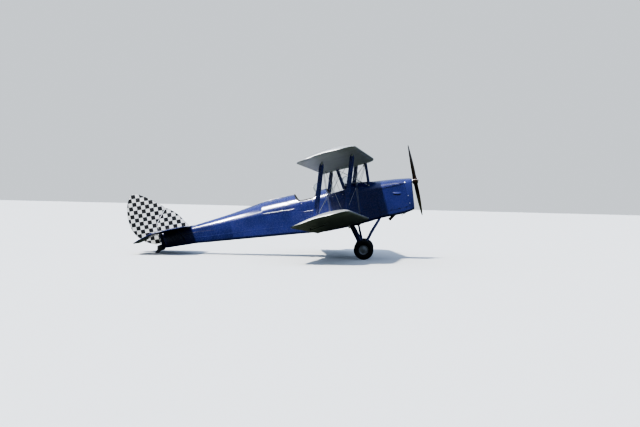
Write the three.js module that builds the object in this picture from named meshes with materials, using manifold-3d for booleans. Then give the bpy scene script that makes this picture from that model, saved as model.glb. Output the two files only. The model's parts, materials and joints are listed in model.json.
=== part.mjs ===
// A two-seat open-cockpit training biplane, parked tail down on its wheels and tail skid.
// Millimetres. Every piece is drawn in the aircraft's own datum frame: x forward from the
// propeller hub, y to port, z up from the thrust line. One group then pitches and lifts the
// whole aircraft on to the ground, +Z up, with the origin under the middle of its box.
import * as THREE from 'three';
import { mergeVertices } from 'three/addons/utils/BufferGeometryUtils.js';
import Module from 'manifold-3d';

const wasm = await Module();
wasm.setup();

// Driving dimensions
const SPAN = 8940;
const CHORD = 1330;
const PROPELLER_DIAMETER = 1930;
const TYRE_RADIUS = 240;
const TYRE_WIDTH = 132;
const AXLE = { x: -1590, y: 800, z: -1385 };
const SKID_SHOE = { x: -6688, z: -378 };
const SEAT_GAP = 0.4; // between two pieces that rest on each other
const MOVING_GAP = 7; // round a panel or surface that moves
const degrees = THREE.MathUtils.degToRad;

// The body: deck top, shoulder (upper longeron), belly and half width at each station. The
// first stations lean: their x goes back by that share of the depth below the thrust line.
const FIREWALL_X = -1000;
const COCKPITS_END_X = -3130;
const STERN_X = -6530;
const BODY = [
  { x: -62, top: 62, shoulder: -34, bottom: -668, half: 158, lean: 0.12 },
  { x: -84, top: 80, shoulder: -28, bottom: -690, half: 202, lean: 0.1 },
  { x: -128, top: 92, shoulder: -22, bottom: -702, half: 228, lean: 0.07 },
  { x: -250, top: 112, shoulder: -12, bottom: -716, half: 246 },
  { x: -450, top: 142, shoulder: 0, bottom: -738, half: 262 },
  { x: -1000, top: 204, shoulder: 12, bottom: -728, half: 305 },
  { x: -1600, top: 300, shoulder: 20, bottom: -772, half: 325 },
  { x: -2400, top: 276, shoulder: 20, bottom: -762, half: 335 },
  { x: -3130, top: 312, shoulder: 10, bottom: -664, half: 322 },
  { x: -3840, top: 288, shoulder: 0, bottom: -575, half: 278 },
  { x: -4700, top: 176, shoulder: -10, bottom: -470, half: 208 },
  { x: -5700, top: 90, shoulder: -30, bottom: -348, half: 118 },
  { x: -6530, top: 76, shoulder: -50, bottom: -298, half: 38 },
];
const BELLY_CORNER = 55;
const CORNER_STEPS = 3;
const DECK_STEPS = 6;
const WALL = 28; // plywood, tube frame and fabric together
const FIREWALL = 20;
const WIDE = 500; // past either side of the body
const HIGH = 500; // above it
const LOW = -900; // and below it
const COWL_WALL = 10;
const DECK_JOINT_Z = 0; // decking above, side panels below
const BELLY_JOINT_Z = -620; // side panels above, belly panel below

// Cockpits: fore-and-aft limits of the cut in the decking, and of the drop-down door
const COAMING_Z = 112;
const DOOR_SILL_Z = -175;
const COCKPITS = [
  { name: 'front', cutFront: -1700, cutRear: -2200, doorFront: -1772, doorRear: -2092, seatX: -2130 },
  { name: 'rear', cutFront: -2440, cutRear: -3010, doorFront: -2530, doorRear: -2890, seatX: -2970 },
];

// Wings: the front spar's place at the root, which the sweep and dihedral start from
const SPAR_SHARE = 0.15; // front spar behind the nose, as a share of the chord
const SPAR_SPACING = 715;
const SECTION_THICKNESS = 0.115;
const SECTION_CAMBER = 0.035;
const SECTION_STEPS = 9;
const SWEEP = degrees(5.4);
const INCIDENCE = degrees(4);
const UPPER = { x: -1070, z: 735, root: 310, dihedral: degrees(3) };
const LOWER = { x: -1500, z: -680, root: 340, dihedral: degrees(4.3) };
const TIP_LENGTH = 560;
// Rounded tip: share of the tip's length, shares of the chord lost at the nose and at the tail,
// and share of the section's thickness that is left
const TIP = [
  { out: 0, nose: 0, tail: 0, thick: 1 },
  { out: 0.45, nose: 0.01, tail: 0, thick: 0.9 },
  { out: 0.7, nose: 0.04, tail: 0.02, thick: 0.72 },
  { out: 0.87, nose: 0.11, tail: 0.07, thick: 0.5 },
  { out: 0.96, nose: 0.21, tail: 0.15, thick: 0.31 },
  { out: 1, nose: 0.36, tail: 0.27, thick: 0.14 },
];
const STRUT_Y = 3150;
const AILERON = { inner: 2050, outer: 4080, hingeShare: 0.785, noseRadius: 37, tabs: [2200, 3060, 3930] };

// Tail
const FIN_THICKNESS = 40;
const RUDDER_HINGE_X = -6558;
const TAILPLANE = { front: -5700, rear: -6443, half: 1475, z: 100, thickness: 50 };
const ELEVATOR = { hingeX: -6475, chord: 550, noseRadius: 25, droop: degrees(14.5), tubeRadius: 16 };

const colours = {
  blue: { color: 0x16307e, roughness: 0.25, metalness: 0.1 },
  silver: { color: 0xb9bcb6, roughness: 0.5, metalness: 0.3 },
  chequer: { color: 0xdcdde0, roughness: 0.4, metalness: 0 },
  steel: { color: 0x8d9196, roughness: 0.35, metalness: 0.9 },
  black: { color: 0x17181a, roughness: 0.6, metalness: 0.1 },
  tyre: { color: 0x161616, roughness: 0.85, metalness: 0 },
  wood: { color: 0x2a1a12, roughness: 0.35, metalness: 0 },
  leather: { color: 0x3a2418, roughness: 0.7, metalness: 0 },
  glass: { color: 0xcfdde0, roughness: 0.1, metalness: 0 },
};

const aircraft = new THREE.Group();

function addNode(name, part, colour) {
  const geometry = geometryOf(part);
  geometry.computeVertexNormals();
  const node = new THREE.Mesh(geometry, new THREE.MeshStandardMaterial(colours[colour]));
  node.name = name;
  aircraft.add(node);
}

// A closed geometry as a solid that can be joined and cut
function solid(geometry) {
  const bare = geometry.clone();
  bare.deleteAttribute('normal');
  bare.deleteAttribute('uv');
  const merged = mergeVertices(bare, 1e-3);
  const corners = merged.index.array;
  const faces = [];
  for (let i = 0; i < corners.length; i += 3) {
    const [a, b, c] = corners.slice(i, i + 3);
    if (a !== b && b !== c && c !== a) faces.push(a, b, c);
  }
  const vertProperties = new Float32Array(merged.attributes.position.array);
  const corner = (i) => new THREE.Vector3().fromArray(vertProperties, 3 * faces[i]);
  let volume = 0;
  for (let i = 0; i < faces.length; i += 3) volume += corner(i).dot(corner(i + 1).cross(corner(i + 2)));
  if (volume < 0) faces.reverse();
  const mesh = new wasm.Mesh({ numProp: 3, vertProperties, triVerts: new Uint32Array(faces) });
  return new wasm.Manifold(mesh);
}

function geometryOf(part) {
  const mesh = part.getMesh();
  const geometry = new THREE.BufferGeometry();
  geometry.setAttribute('position', new THREE.BufferAttribute(mesh.vertProperties, 3));
  geometry.setIndex(new THREE.BufferAttribute(mesh.triVerts, 1));
  return geometry;
}

function placed(part, matrix) {
  return solid(geometryOf(part).applyMatrix4(matrix));
}

function shifted(part, x, y, z) {
  return placed(part, new THREE.Matrix4().makeTranslation(x, y, z));
}

// The same piece on the other side of the aircraft
function mirrored(part) {
  const geometry = geometryOf(part).scale(1, -1, 1);
  const corners = geometry.index.array;
  for (let i = 0; i < corners.length; i += 3) {
    [corners[i], corners[i + 1]] = [corners[i + 1], corners[i]];
  }
  return solid(geometry);
}

function joined(parts) {
  return parts.reduce((whole, part) => whole.add(part));
}

function without(part, cuts) {
  return cuts.reduce((left, cut) => left.subtract(cut), part);
}

function block(front, rear, right, left, low, high) {
  const box = new THREE.BoxGeometry(front - rear, left - right, high - low);
  return solid(box.translate((front + rear) / 2, (left + right) / 2, (low + high) / 2));
}

// A round or streamlined bar between two points, its long axis fore and aft
function bar(from, to, chord, thickness = chord, sides = 12) {
  const start = new THREE.Vector3(...from);
  const run = new THREE.Vector3(...to).sub(start);
  const tube = new THREE.CylinderGeometry(0.5, 0.5, run.length(), sides).scale(chord, 1, thickness);
  const along = run.clone().normalize();
  const reference = Math.abs(along.x) > 0.9 ? new THREE.Vector3(0, 0, 1) : new THREE.Vector3(1, 0, 0);
  const fore = reference.addScaledVector(along, -reference.dot(along)).normalize();
  const across = new THREE.Vector3().crossVectors(fore, along);
  const turn = new THREE.Matrix4().makeBasis(fore, along, across);
  return solid(tube.applyMatrix4(turn).translate(...start.addScaledVector(run, 0.5)));
}

// A closed skin through rings of equal count, each running from its low point up to its high one
function loft(rings) {
  const count = rings[0].length;
  const half = count / 2;
  const faces = [];
  for (let ring = 0; ring < rings.length - 1; ring += 1) {
    for (let i = 0; i < count; i += 1) {
      const a = ring * count + i;
      const b = ring * count + ((i + 1) % count);
      if (i < half) faces.push(a, b, b + count, a, b + count, a + count);
      else faces.push(a, b, a + count, b, b + count, a + count);
    }
  }
  const last = (rings.length - 1) * count;
  for (let i = 0; i < half; i += 1) {
    const a = i;
    const c = (count - i) % count;
    const d = count - i - 1;
    if (i > 0) faces.push(a, c, a + 1, last + a, last + a + 1, last + c);
    if (i < half - 1) faces.push(a + 1, c, d, last + a + 1, last + d, last + c);
  }
  const geometry = new THREE.BufferGeometry();
  geometry.setAttribute('position', new THREE.Float32BufferAttribute(rings.flat(2), 3));
  geometry.setIndex(faces);
  return solid(geometry);
}

function bodyAt(x) {
  const rear = BODY.findIndex((station) => station.x <= x);
  const [a, b] = [BODY[Math.max(rear - 1, 0)], BODY[rear]];
  const share = a === b ? 0 : (x - a.x) / (b.x - a.x);
  const between = (key) => (a[key] ?? 0) * (1 - share) + (b[key] ?? 0) * share;
  const [top, shoulder, bottom, half] = ['top', 'shoulder', 'bottom', 'half'].map(between);
  return { x, top, shoulder, bottom, half, lean: between('lean') };
}

function bodyRing({ x, top, shoulder, bottom, half, lean = 0 }, inset) {
  const wide = half - inset;
  const low = bottom + inset;
  const high = top - inset;
  const corner = Math.min(BELLY_CORNER, wide * 0.7);
  const left = [[0, low]];
  for (let i = 0; i <= CORNER_STEPS; i += 1) {
    const turn = ((i / CORNER_STEPS) * Math.PI) / 2;
    left.push([wide - corner + corner * Math.sin(turn), low + corner - corner * Math.cos(turn)]);
  }
  for (let i = 0; i < DECK_STEPS; i += 1) {
    const turn = ((i / DECK_STEPS) * Math.PI) / 2;
    left.push([wide * Math.cos(turn), shoulder + (high - shoulder) * Math.sin(turn)]);
  }
  const right = left.slice(1).reverse().map(([y, z]) => [-y, z]);
  return [...left, [0, high], ...right].map(([y, z]) => [x + lean * z, y, z]);
}

function body(front, rear, inset = 0) {
  const inside = BODY.filter(({ x }) => x < front && x > rear);
  return loft([bodyAt(front), ...inside, bodyAt(rear)].map((station) => bodyRing(station, inset)));
}

// A strip of the body's wall between two stations
function shell(front, rear, wall) {
  return body(front, rear).subtract(body(Math.min(front + 20, BODY[0].x), rear - 20, wall));
}

// Knuckles along a hinge line: every other one belongs to the moving piece
function hinge(from, to, towardMoving, inward, depth, knuckles = 5) {
  const radius = 5;
  const leaf = 26;
  const start = new THREE.Vector3(...from);
  const run = new THREE.Vector3(...to).sub(start);
  const along = run.clone().normalize();
  const outward = new THREE.Vector3(...inward).normalize().negate();
  const across = new THREE.Vector3().crossVectors(outward, along);
  const side = Math.sign(across.dot(new THREE.Vector3(...towardMoving)));
  const groups = [[], []];
  for (let i = 0; i < knuckles; i += 1) {
    const a = start.clone().addScaledVector(run, i / knuckles).addScaledVector(along, SEAT_GAP / 2);
    const b = start.clone().addScaledVector(run, (i + 1) / knuckles).addScaledVector(along, -SEAT_GAP / 2);
    const moving = i % 2;
    const plate = new THREE.BoxGeometry(a.distanceTo(b), leaf, depth);
    plate.translate(0, (leaf / 2) * side * (moving ? 1 : -1), -depth / 2);
    plate.applyMatrix4(new THREE.Matrix4().makeBasis(along, across, outward));
    plate.translate(...a.clone().add(b).multiplyScalar(0.5));
    groups[moving].push(bar([...a], [...b], radius * 2, radius * 2, 8).add(solid(plate)));
  }
  return { fixed: joined(groups[0]), moving: joined(groups[1]) };
}

// Fuselage

const skin = shell(FIREWALL_X - FIREWALL, COCKPITS_END_X, WALL);
const frontBody = body(FIREWALL_X, COCKPITS_END_X - 600);

// The side view of a cockpit's cut, rounded at both ends
function cockpitCut({ cutFront, cutRear }) {
  const outline = new THREE.Shape();
  outline.moveTo(cutFront + 60, HIGH);
  outline.quadraticCurveTo(cutFront, COAMING_Z + 20, cutFront - 90, COAMING_Z);
  outline.lineTo(cutRear + 130, COAMING_Z);
  outline.quadraticCurveTo(cutRear + 20, COAMING_Z + 10, cutRear, HIGH);
  const cut = new THREE.ExtrudeGeometry(outline, { depth: 2 * WIDE, bevelEnabled: false, curveSegments: 5 });
  return solid(cut.rotateX(Math.PI / 2).translate(0, WIDE, 0));
}

const doors = COCKPITS.map(({ name, doorFront, doorRear }) => {
  const gap = MOVING_GAP - 1;
  const hole = block(doorFront, doorRear, 200, WIDE, DOOR_SILL_Z, HIGH);
  const leaf = block(doorFront - gap, doorRear + gap, 200, WIDE, DOOR_SILL_Z + gap, COAMING_Z);
  const outside = { front: bodyAt(doorFront - 60).half, rear: bodyAt(doorRear + 60).half };
  const line = [
    [doorFront - 60, outside.front + 7, DOOR_SILL_Z + gap / 2],
    [doorRear + 60, outside.rear + 7, DOOR_SILL_Z + gap / 2],
  ];
  const knuckles = hinge(line[0], line[1], [0, 0, 1], [0, -1, 0], 15);
  return { name, hole, line, panel: skin.intersect(leaf).add(knuckles.moving), fixed: knuckles.fixed };
});
const doorHoles = doors.map(({ hole }) => hole);

const rearLimit = COCKPITS_END_X;
const sideStrip = block(FIREWALL_X, rearLimit, 100, WIDE, BELLY_JOINT_Z + SEAT_GAP, DECK_JOINT_Z - SEAT_GAP);
const sidePanel = joined([
  without(skin.intersect(sideStrip), doorHoles),
  ...doors.map(({ fixed }) => fixed),
]);
const belly = skin.intersect(block(FIREWALL_X, rearLimit, -WIDE, WIDE, LOW, BELLY_JOINT_Z));
const firewall = body(FIREWALL_X - SEAT_GAP, FIREWALL_X - FIREWALL + SEAT_GAP);

addNode('firewall', firewall, 'steel');
addNode('belly_panel', belly, 'blue');
const openings = [...COCKPITS.map(cockpitCut), ...doorHoles, ...doorHoles.map(mirrored)];
const doorMiddles = COCKPITS.map(({ doorFront, doorRear }) => (doorFront + doorRear) / 2);
const deckEnds = [FIREWALL_X, ...doorMiddles, COCKPITS_END_X];
['front', 'centre', 'rear'].forEach((part, i) => {
  const strip = block(deckEnds[i], deckEnds[i + 1], -WIDE, WIDE, DECK_JOINT_Z, HIGH);
  addNode(`${part}_decking`, without(skin.intersect(strip), openings), 'blue');
});
addNode('front_side_panel_left', sidePanel, 'blue');
addNode('front_side_panel_right', mirrored(sidePanel), 'blue');
doors.forEach(({ name, panel }) => {
  addNode(`${name}_door_left`, panel, 'blue');
  addNode(`${name}_door_right`, mirrored(panel), 'blue');
});

// Rear fuselage with the locker behind the headrest, its lid on the starboard half of the deck
const LOCKER = { front: -3190, rear: -3860, inner: -24, edgeZ: -50, wall: 18, floorZ: -260 };
const rearWhole = body(COCKPITS_END_X - SEAT_GAP, STERN_X);
const lidBand = block(LOCKER.front, LOCKER.rear, -WIDE, LOCKER.inner, LOCKER.edgeZ, HIGH);
const lidGap = MOVING_GAP - 1;
const lidBandShell = (wall) => (
  rearWhole.subtract(body(COCKPITS_END_X - SEAT_GAP, STERN_X, wall)).intersect(lidBand)
);
const lidTrim = block(
  LOCKER.front - lidGap, LOCKER.rear + lidGap, -WIDE, LOCKER.inner - lidGap, LOCKER.edgeZ + lidGap, HIGH,
);
const lidLine = [
  [LOCKER.front - 80, LOCKER.inner - lidGap / 2, bodyAt(LOCKER.front - 80).top + 5],
  [LOCKER.rear + 80, LOCKER.inner - lidGap / 2, bodyAt(LOCKER.rear + 80).top + 5],
];
const lidHinge = hinge(lidLine[0], lidLine[1], [0, -1, 0], [0, 0, -1], 14);
const lid = lidBandShell(LOCKER.wall).intersect(lidTrim).add(lidHinge.moving);
const lockerRoom = body(LOCKER.front - 40, LOCKER.rear + 40, LOCKER.wall)
  .intersect(block(LOCKER.front - 40, LOCKER.rear + 40, -WIDE, LOCKER.inner - 20, LOCKER.floorZ, HIGH));
const tailplaneSeat = block(TAILPLANE.front + 3, TAILPLANE.rear - 3, -WIDE, WIDE, TAILPLANE.z - 25 - SEAT_GAP, HIGH);
const elevatorBearing = block(
  ELEVATOR.hingeX + 14, ELEVATOR.hingeX - 14, -14, 14, 0, TAILPLANE.z - ELEVATOR.tubeRadius - SEAT_GAP,
);
const RUDDER_FOOT_Z = -160;
const rudderBearing = block(STERN_X + 30, RUDDER_HINGE_X - 22, -18, 18, RUDDER_FOOT_Z - 12, RUDDER_FOOT_Z);
const tubeWay = bar([ELEVATOR.hingeX, -WIDE, TAILPLANE.z], [ELEVATOR.hingeX, WIDE, TAILPLANE.z], 46);
const rearFuselage = joined([
  without(rearWhole, [lidBandShell(LOCKER.wall + lidGap), lockerRoom, tailplaneSeat, tubeWay]),
  elevatorBearing,
  rudderBearing,
  lidHinge.fixed,
]);
addNode('rear_fuselage', rearFuselage, 'blue');
addNode('locker_lid', lid, 'blue');

// Seats: a bucket's side view with its pedestal standing on the belly panel
COCKPITS.forEach(({ name, seatX }) => {
  const floorZ = (x) => bodyAt(x).bottom + WALL + SEAT_GAP;
  const pan = -400;
  const outline = new THREE.Shape([
    new THREE.Vector2(seatX + 360, pan), new THREE.Vector2(seatX + 20, pan - 20),
    new THREE.Vector2(seatX - 40, 60), new THREE.Vector2(seatX - 70, 60),
    new THREE.Vector2(seatX - 20, pan - 60), new THREE.Vector2(seatX + 60, pan - 60),
    new THREE.Vector2(seatX + 60, floorZ(seatX + 60)), new THREE.Vector2(seatX + 300, floorZ(seatX + 300)),
    new THREE.Vector2(seatX + 300, pan - 40), new THREE.Vector2(seatX + 360, pan - 30),
  ]);
  const seat = new THREE.ExtrudeGeometry(outline, { depth: 400, bevelEnabled: false });
  addNode(`${name}_seat`, solid(seat.rotateX(Math.PI / 2).translate(0, 200, 0)), 'leather');
});

// Windscreens: three flat panes each, standing on the decking ahead of the cockpit
function windscreen(x, height) {
  const plan = new THREE.Shape([
    new THREE.Vector2(x, 110), new THREE.Vector2(x - 150, 205), new THREE.Vector2(x - 156, 199),
    new THREE.Vector2(x - 6, 104), new THREE.Vector2(x - 6, -104), new THREE.Vector2(x - 156, -199),
    new THREE.Vector2(x - 150, -205), new THREE.Vector2(x, -110),
  ]);
  const screen = new THREE.ExtrudeGeometry(plan, { depth: 400, bevelEnabled: false });
  const lean = new THREE.Matrix4().makeShear(0, 0, 0, 0, -0.35, 0);
  const upright = solid(screen.applyMatrix4(lean).translate(0.35 * 250, 0, 0));
  return upright.subtract(shifted(frontBody, 0, 0, SEAT_GAP)).subtract(block(0, -4000, -WIDE, WIDE, height, 900));
}
addNode('front_windscreen', windscreen(-1545, 480), 'glass');
addNode('rear_windscreen', windscreen(-2300, 460), 'glass');

// Engine, cowling and propeller

const NOSE_SPLIT_X = -255;
const COWL_REAR_X = FIREWALL_X;
const PANEL_TOP_Z = -10;
const PANEL_LOW_Z = -600;
const cowlSkin = shell(NOSE_SPLIT_X, COWL_REAR_X, COWL_WALL);
const SHAFT_RADIUS = 38;
const noseHollow = body(BODY[0].x - COWL_WALL, NOSE_SPLIT_X - 20, COWL_WALL);
const shaftHole = bar([100, 0, 0], [-300, 0, 0], 2 * SHAFT_RADIUS + 24, 2 * SHAFT_RADIUS + 24, 24);
const airIntake = bar([0, 70, -330], [-180, 70, -330], 300, 120, 20);
const noseCowl = without(body(BODY[0].x, NOSE_SPLIT_X + SEAT_GAP), [noseHollow, shaftHole, airIntake]);
addNode('nose_cowl', noseCowl, 'blue');

// Cowling side panels hang from their top edge and swing outwards
const panelBand = block(
  NOSE_SPLIT_X - MOVING_GAP, COWL_REAR_X + MOVING_GAP, 0, WIDE, PANEL_LOW_Z, PANEL_TOP_Z,
);
const panelLine = [NOSE_SPLIT_X - 40, COWL_REAR_X + 40].map((x) => (
  [x, bodyAt(x).half + 7, PANEL_TOP_Z + MOVING_GAP / 2]
));
const panelHinge = hinge(panelLine[0], panelLine[1], [0, 0, -1], [0, -1, 0], 15, 7);
const sideCowl = cowlSkin.intersect(panelBand).add(panelHinge.moving);
const topCowl = cowlSkin.intersect(block(0, COWL_REAR_X, -WIDE, WIDE, PANEL_TOP_Z + MOVING_GAP, HIGH));
const lowerCowl = cowlSkin.intersect(block(0, COWL_REAR_X, -WIDE, WIDE, LOW, PANEL_LOW_Z - MOVING_GAP));
addNode('top_cowl', joined([topCowl, panelHinge.fixed, mirrored(panelHinge.fixed)]), 'blue');
addNode('lower_cowl', lowerCowl, 'blue');
addNode('side_cowl_left', sideCowl, 'blue');
addNode('side_cowl_right', mirrored(sideCowl), 'blue');

// The engine is one plain block on its bearers, bolted to the firewall
const ENGINE = { front: -230, rear: FIREWALL_X + SEAT_GAP, half: 120, low: -560, high: 40 };
const bearers = block(-420, ENGINE.rear, -190, 190, -230, -170);
const crankcase = block(ENGINE.front, -930, -ENGINE.half, ENGINE.half, ENGINE.low, ENGINE.high);
addNode('engine_block', crankcase.add(bearers), 'steel');

// Propeller: two blades of laminated wood, each a short loft with twist
const PROPELLER_X = 22;
const PROPELLER_TURN = degrees(24); // where it stopped
const BLADE = [
  { r: 0, chord: 130, thick: 110, twist: 40 },
  { r: 120, chord: 118, thick: 76, twist: 40 },
  { r: 300, chord: 150, thick: 42, twist: 34 },
  { r: 560, chord: 168, thick: 28, twist: 24 },
  { r: 800, chord: 140, thick: 18, twist: 17 },
  { r: 920, chord: 100, thick: 12, twist: 14 },
  { r: 965, chord: 44, thick: 8, twist: 13 },
];
const BLADE_SIDES = 12;
function bladeRing({ r, chord, thick, twist }) {
  const points = [];
  for (let i = 0; i < BLADE_SIDES; i += 1) {
    const turn = (i / BLADE_SIDES) * 2 * Math.PI;
    const along = (Math.cos(turn) * chord) / 2;
    const out = (Math.sin(turn) * thick) / 2;
    const pitch = degrees(twist);
    points.push([
      out * Math.cos(pitch) + along * Math.sin(pitch), along * Math.cos(pitch) - out * Math.sin(pitch), r,
    ]);
  }
  return points;
}
const blade = loft(BLADE.map(bladeRing));
const otherBlade = placed(blade, new THREE.Matrix4().makeRotationX(Math.PI));
const BOSS = { front: 55, rear: -55, radius: 84 };
const boss = bar([BOSS.rear, 0, 0], [BOSS.front, 0, 0], 2 * BOSS.radius, 2 * BOSS.radius, 24);
const bore = bar([-200, 0, 0], [200, 0, 0], 2 * (SHAFT_RADIUS + SEAT_GAP), 2 * (SHAFT_RADIUS + SEAT_GAP), 20);
const asStopped = new THREE.Matrix4().makeRotationX(PROPELLER_TURN);
const propeller = joined([blade, otherBlade, boss]).subtract(bore);
addNode('propeller', shifted(placed(propeller, asStopped), PROPELLER_X, 0, 0), 'wood');

function disc(rear, front, radius, sides = 20) {
  return bar([rear, 0, 0], [front, 0, 0], 2 * radius, 2 * radius, sides);
}
const bossRear = PROPELLER_X + BOSS.rear - SEAT_GAP;
const bossFront = PROPELLER_X + BOSS.front + SEAT_GAP;
const hub = joined([
  disc(ENGINE.front + SEAT_GAP, bossFront + 6, SHAFT_RADIUS),
  disc(bossRear - 12, bossRear, 72),
  disc(bossFront, bossFront + 9, 66),
  disc(bossFront, bossFront + 30, 27, 6),
]);
addNode('propeller_hub', placed(hub, asStopped), 'steel');

// Exhaust outlet to starboard below the cowling, oil tank on the port side
const cowlBody = body(NOSE_SPLIT_X, COWL_REAR_X);
const exhaustRun = [[-600, -96, -672], [-815, -112, -815]];
const exhaust = bar(...exhaustRun, 70).subtract(bar(exhaustRun[0], [-830, -113, -825], 58));
addNode('exhaust_outlet', exhaust.subtract(shifted(cowlBody, 0, 0, -SEAT_GAP)), 'steel');
const oilTank = bar([-1070, 340, -190], [-1470, 360, -190], 250, 120, 16);
addNode('oil_tank', oilTank.subtract(shifted(frontBody, 0, SEAT_GAP, 0)), 'blue');

// Wings

// A wing section round from its trailing edge over the top to the nose and back below
function sectionRing({ y, nose = 0, tail = 0, thick = 1 }) {
  const chord = CHORD * (1 - nose - tail);
  const front = CHORD * (SPAR_SHARE - nose);
  const points = [];
  for (let i = 0; i < 2 * SECTION_STEPS; i += 1) {
    const back = (1 + Math.cos((i / SECTION_STEPS) * Math.PI)) / 2;
    const round = 0.2969 * Math.sqrt(back) - 0.126 * back - 0.3516 * back ** 2 + 0.2843 * back ** 3;
    const half = 5 * SECTION_THICKNESS * thick * (round - 0.1036 * back ** 4);
    const camber = 4 * SECTION_CAMBER * back * (1 - back);
    points.push([front - chord * back, y, chord * (i < SECTION_STEPS ? camber + half : camber - half)]);
  }
  return points;
}

const TIP_Y = SPAN / 2;
function wingPanel(root) {
  const tip = TIP.map(({ out, ...lost }) => ({ y: TIP_Y - TIP_LENGTH * (1 - out), ...lost }));
  return loft([{ y: root }, ...tip].map(sectionRing));
}

// From a wing's own frame, its front spar along y, to its place on the aircraft
function wingPlace({ x, z, root, dihedral }) {
  const slip = Math.tan(SWEEP);
  const rise = Math.tan(dihedral);
  return new THREE.Matrix4().makeTranslation(x + root * slip, 0, z - root * rise)
    .multiply(new THREE.Matrix4().makeShear(0, 0, -slip, rise, 0, 0))
    .multiply(new THREE.Matrix4().makeRotationY(-INCIDENCE));
}
function onWing(wing, behindSpar, y, above = 20) {
  return [...new THREE.Vector3(-behindSpar, y, above).applyMatrix4(wingPlace(wing))];
}

const upperWing = placed(wingPanel(UPPER.root + SEAT_GAP), wingPlace(UPPER));
const bothSides = [['left', (part) => part], ['right', mirrored]];

// Lower wing and its aileron: a round-nosed surface in a cove, carried on three tabs. The cove,
// the nose and the ends are square to the hinge line, which sweeps and rises with the wing.
const HINGE_SIDES = 32;
const TAB_HALF = 14;
const hingeBehind = CHORD * (AILERON.hingeShare - SPAR_SHARE);
const hingeHeight = 4 * SECTION_CAMBER * AILERON.hingeShare * (1 - AILERON.hingeShare) * CHORD;
const hingeAt = (y) => onWing(LOWER, hingeBehind, y, hingeHeight);
const hingeRod = (radius, inner, outer) => (
  bar(hingeAt(inner), hingeAt(outer), 2 * radius, 2 * radius, HINGE_SIDES)
);
// Everything behind the hinge line between two places along it
function behindHinge(inner, outer) {
  const start = new THREE.Vector3(...hingeAt(inner));
  const line = new THREE.Vector3(...hingeAt(outer)).sub(start);
  const along = line.clone().normalize();
  const back = new THREE.Vector3(-1, 0, 0).addScaledVector(along, along.x).normalize();
  const frame = new THREE.Matrix4().makeBasis(back, along, new THREE.Vector3().crossVectors(back, along));
  const box = new THREE.BoxGeometry(CHORD, line.length(), CHORD).translate(CHORD / 2, line.length() / 2, 0);
  return solid(box.applyMatrix4(frame.setPosition(start)));
}
const coveEnds = [AILERON.inner, ...AILERON.tabs.flatMap((y) => [y - TAB_HALF, y + TAB_HALF]), AILERON.outer];
const cove = [];
for (let i = 0; i < coveEnds.length; i += 2) {
  cove.push(hingeRod(AILERON.noseRadius + MOVING_GAP, coveEnds[i], coveEnds[i + 1]));
}
const lowerWhole = placed(wingPanel(LOWER.root - 60), wingPlace(LOWER));
const lowerWing = without(lowerWhole, [
  ...cove,
  hingeRod(AILERON.noseRadius + 2 * SEAT_GAP, AILERON.inner, AILERON.outer),
  behindHinge(AILERON.inner, AILERON.outer),
  shifted(frontBody, 0, SEAT_GAP, 0),
]);
const aileronEnds = [AILERON.inner + MOVING_GAP, AILERON.outer - MOVING_GAP];
const aileron = lowerWhole.intersect(behindHinge(...aileronEnds)).add(hingeRod(AILERON.noseRadius, ...aileronEnds));

const centreEnds = [-1, 1].map((side) => ({ y: side * (UPPER.root - SEAT_GAP) }));
const centreTurn = new THREE.Matrix4().makeTranslation(UPPER.x, 0, UPPER.z)
  .multiply(new THREE.Matrix4().makeRotationY(-INCIDENCE));
const centreSection = placed(loft(centreEnds.map(sectionRing)), centreTurn);
addNode('centre_section', centreSection, 'blue');

const strutEnds = [['front', 0], ['rear', SPAR_SPACING]];
bothSides.forEach(([side, toSide]) => {
  addNode(`upper_wing_${side}`, toSide(upperWing), 'silver');
  addNode(`lower_wing_${side}`, toSide(lowerWing), 'silver');
  addNode(`aileron_${side}`, toSide(aileron), 'silver');
  strutEnds.forEach(([end, behind]) => {
    const strut = bar(onWing(LOWER, behind, STRUT_Y), onWing(UPPER, behind, STRUT_Y), 104, 38);
    const seats = [shifted(lowerWing, 0, 0, SEAT_GAP), shifted(upperWing, 0, 0, -SEAT_GAP)];
    addNode(`${end}_interplane_strut_${side}`, toSide(without(strut, seats)), 'blue');
  });
});

// Centre-section struts stand on the deck's shoulders
const CABANE = [
  { end: 'front', foot: [-1130, 262, 70], head: [-1085, 288, 740] },
  { end: 'rear', foot: [-1730, 286, 60], head: [-1820, 288, 740] },
];
const deckSolid = shifted(frontBody, 0, SEAT_GAP / 2, SEAT_GAP);
const centreSolid = shifted(centreSection, 0, 0, -SEAT_GAP);
bothSides.forEach(([side, toSide]) => {
  CABANE.forEach(({ end, foot, head }) => {
    const strut = without(bar(foot, head, 66, 30), [deckSolid, centreSolid]);
    addNode(`${end}_cabane_strut_${side}`, toSide(strut), 'blue');
  });
});

// Flying wires: from each root fitting of the lower wing up to the head of the outer strut
const WIRE = 10;
bothSides.forEach(([side, toSide]) => {
  strutEnds.forEach(([end, behind]) => {
    const ends = [onWing(LOWER, behind, LOWER.root + 60, 30), onWing(UPPER, behind, STRUT_Y - 90, 10)];
    const wire = bar(...ends, WIRE, WIRE, 6);
    const seats = [shifted(lowerWing, 0, 0, SEAT_GAP), shifted(upperWing, 0, 0, -SEAT_GAP)];
    addNode(`${end}_flying_wire_${side}`, toSide(without(wire, seats)), 'steel');
  });
});

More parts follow.
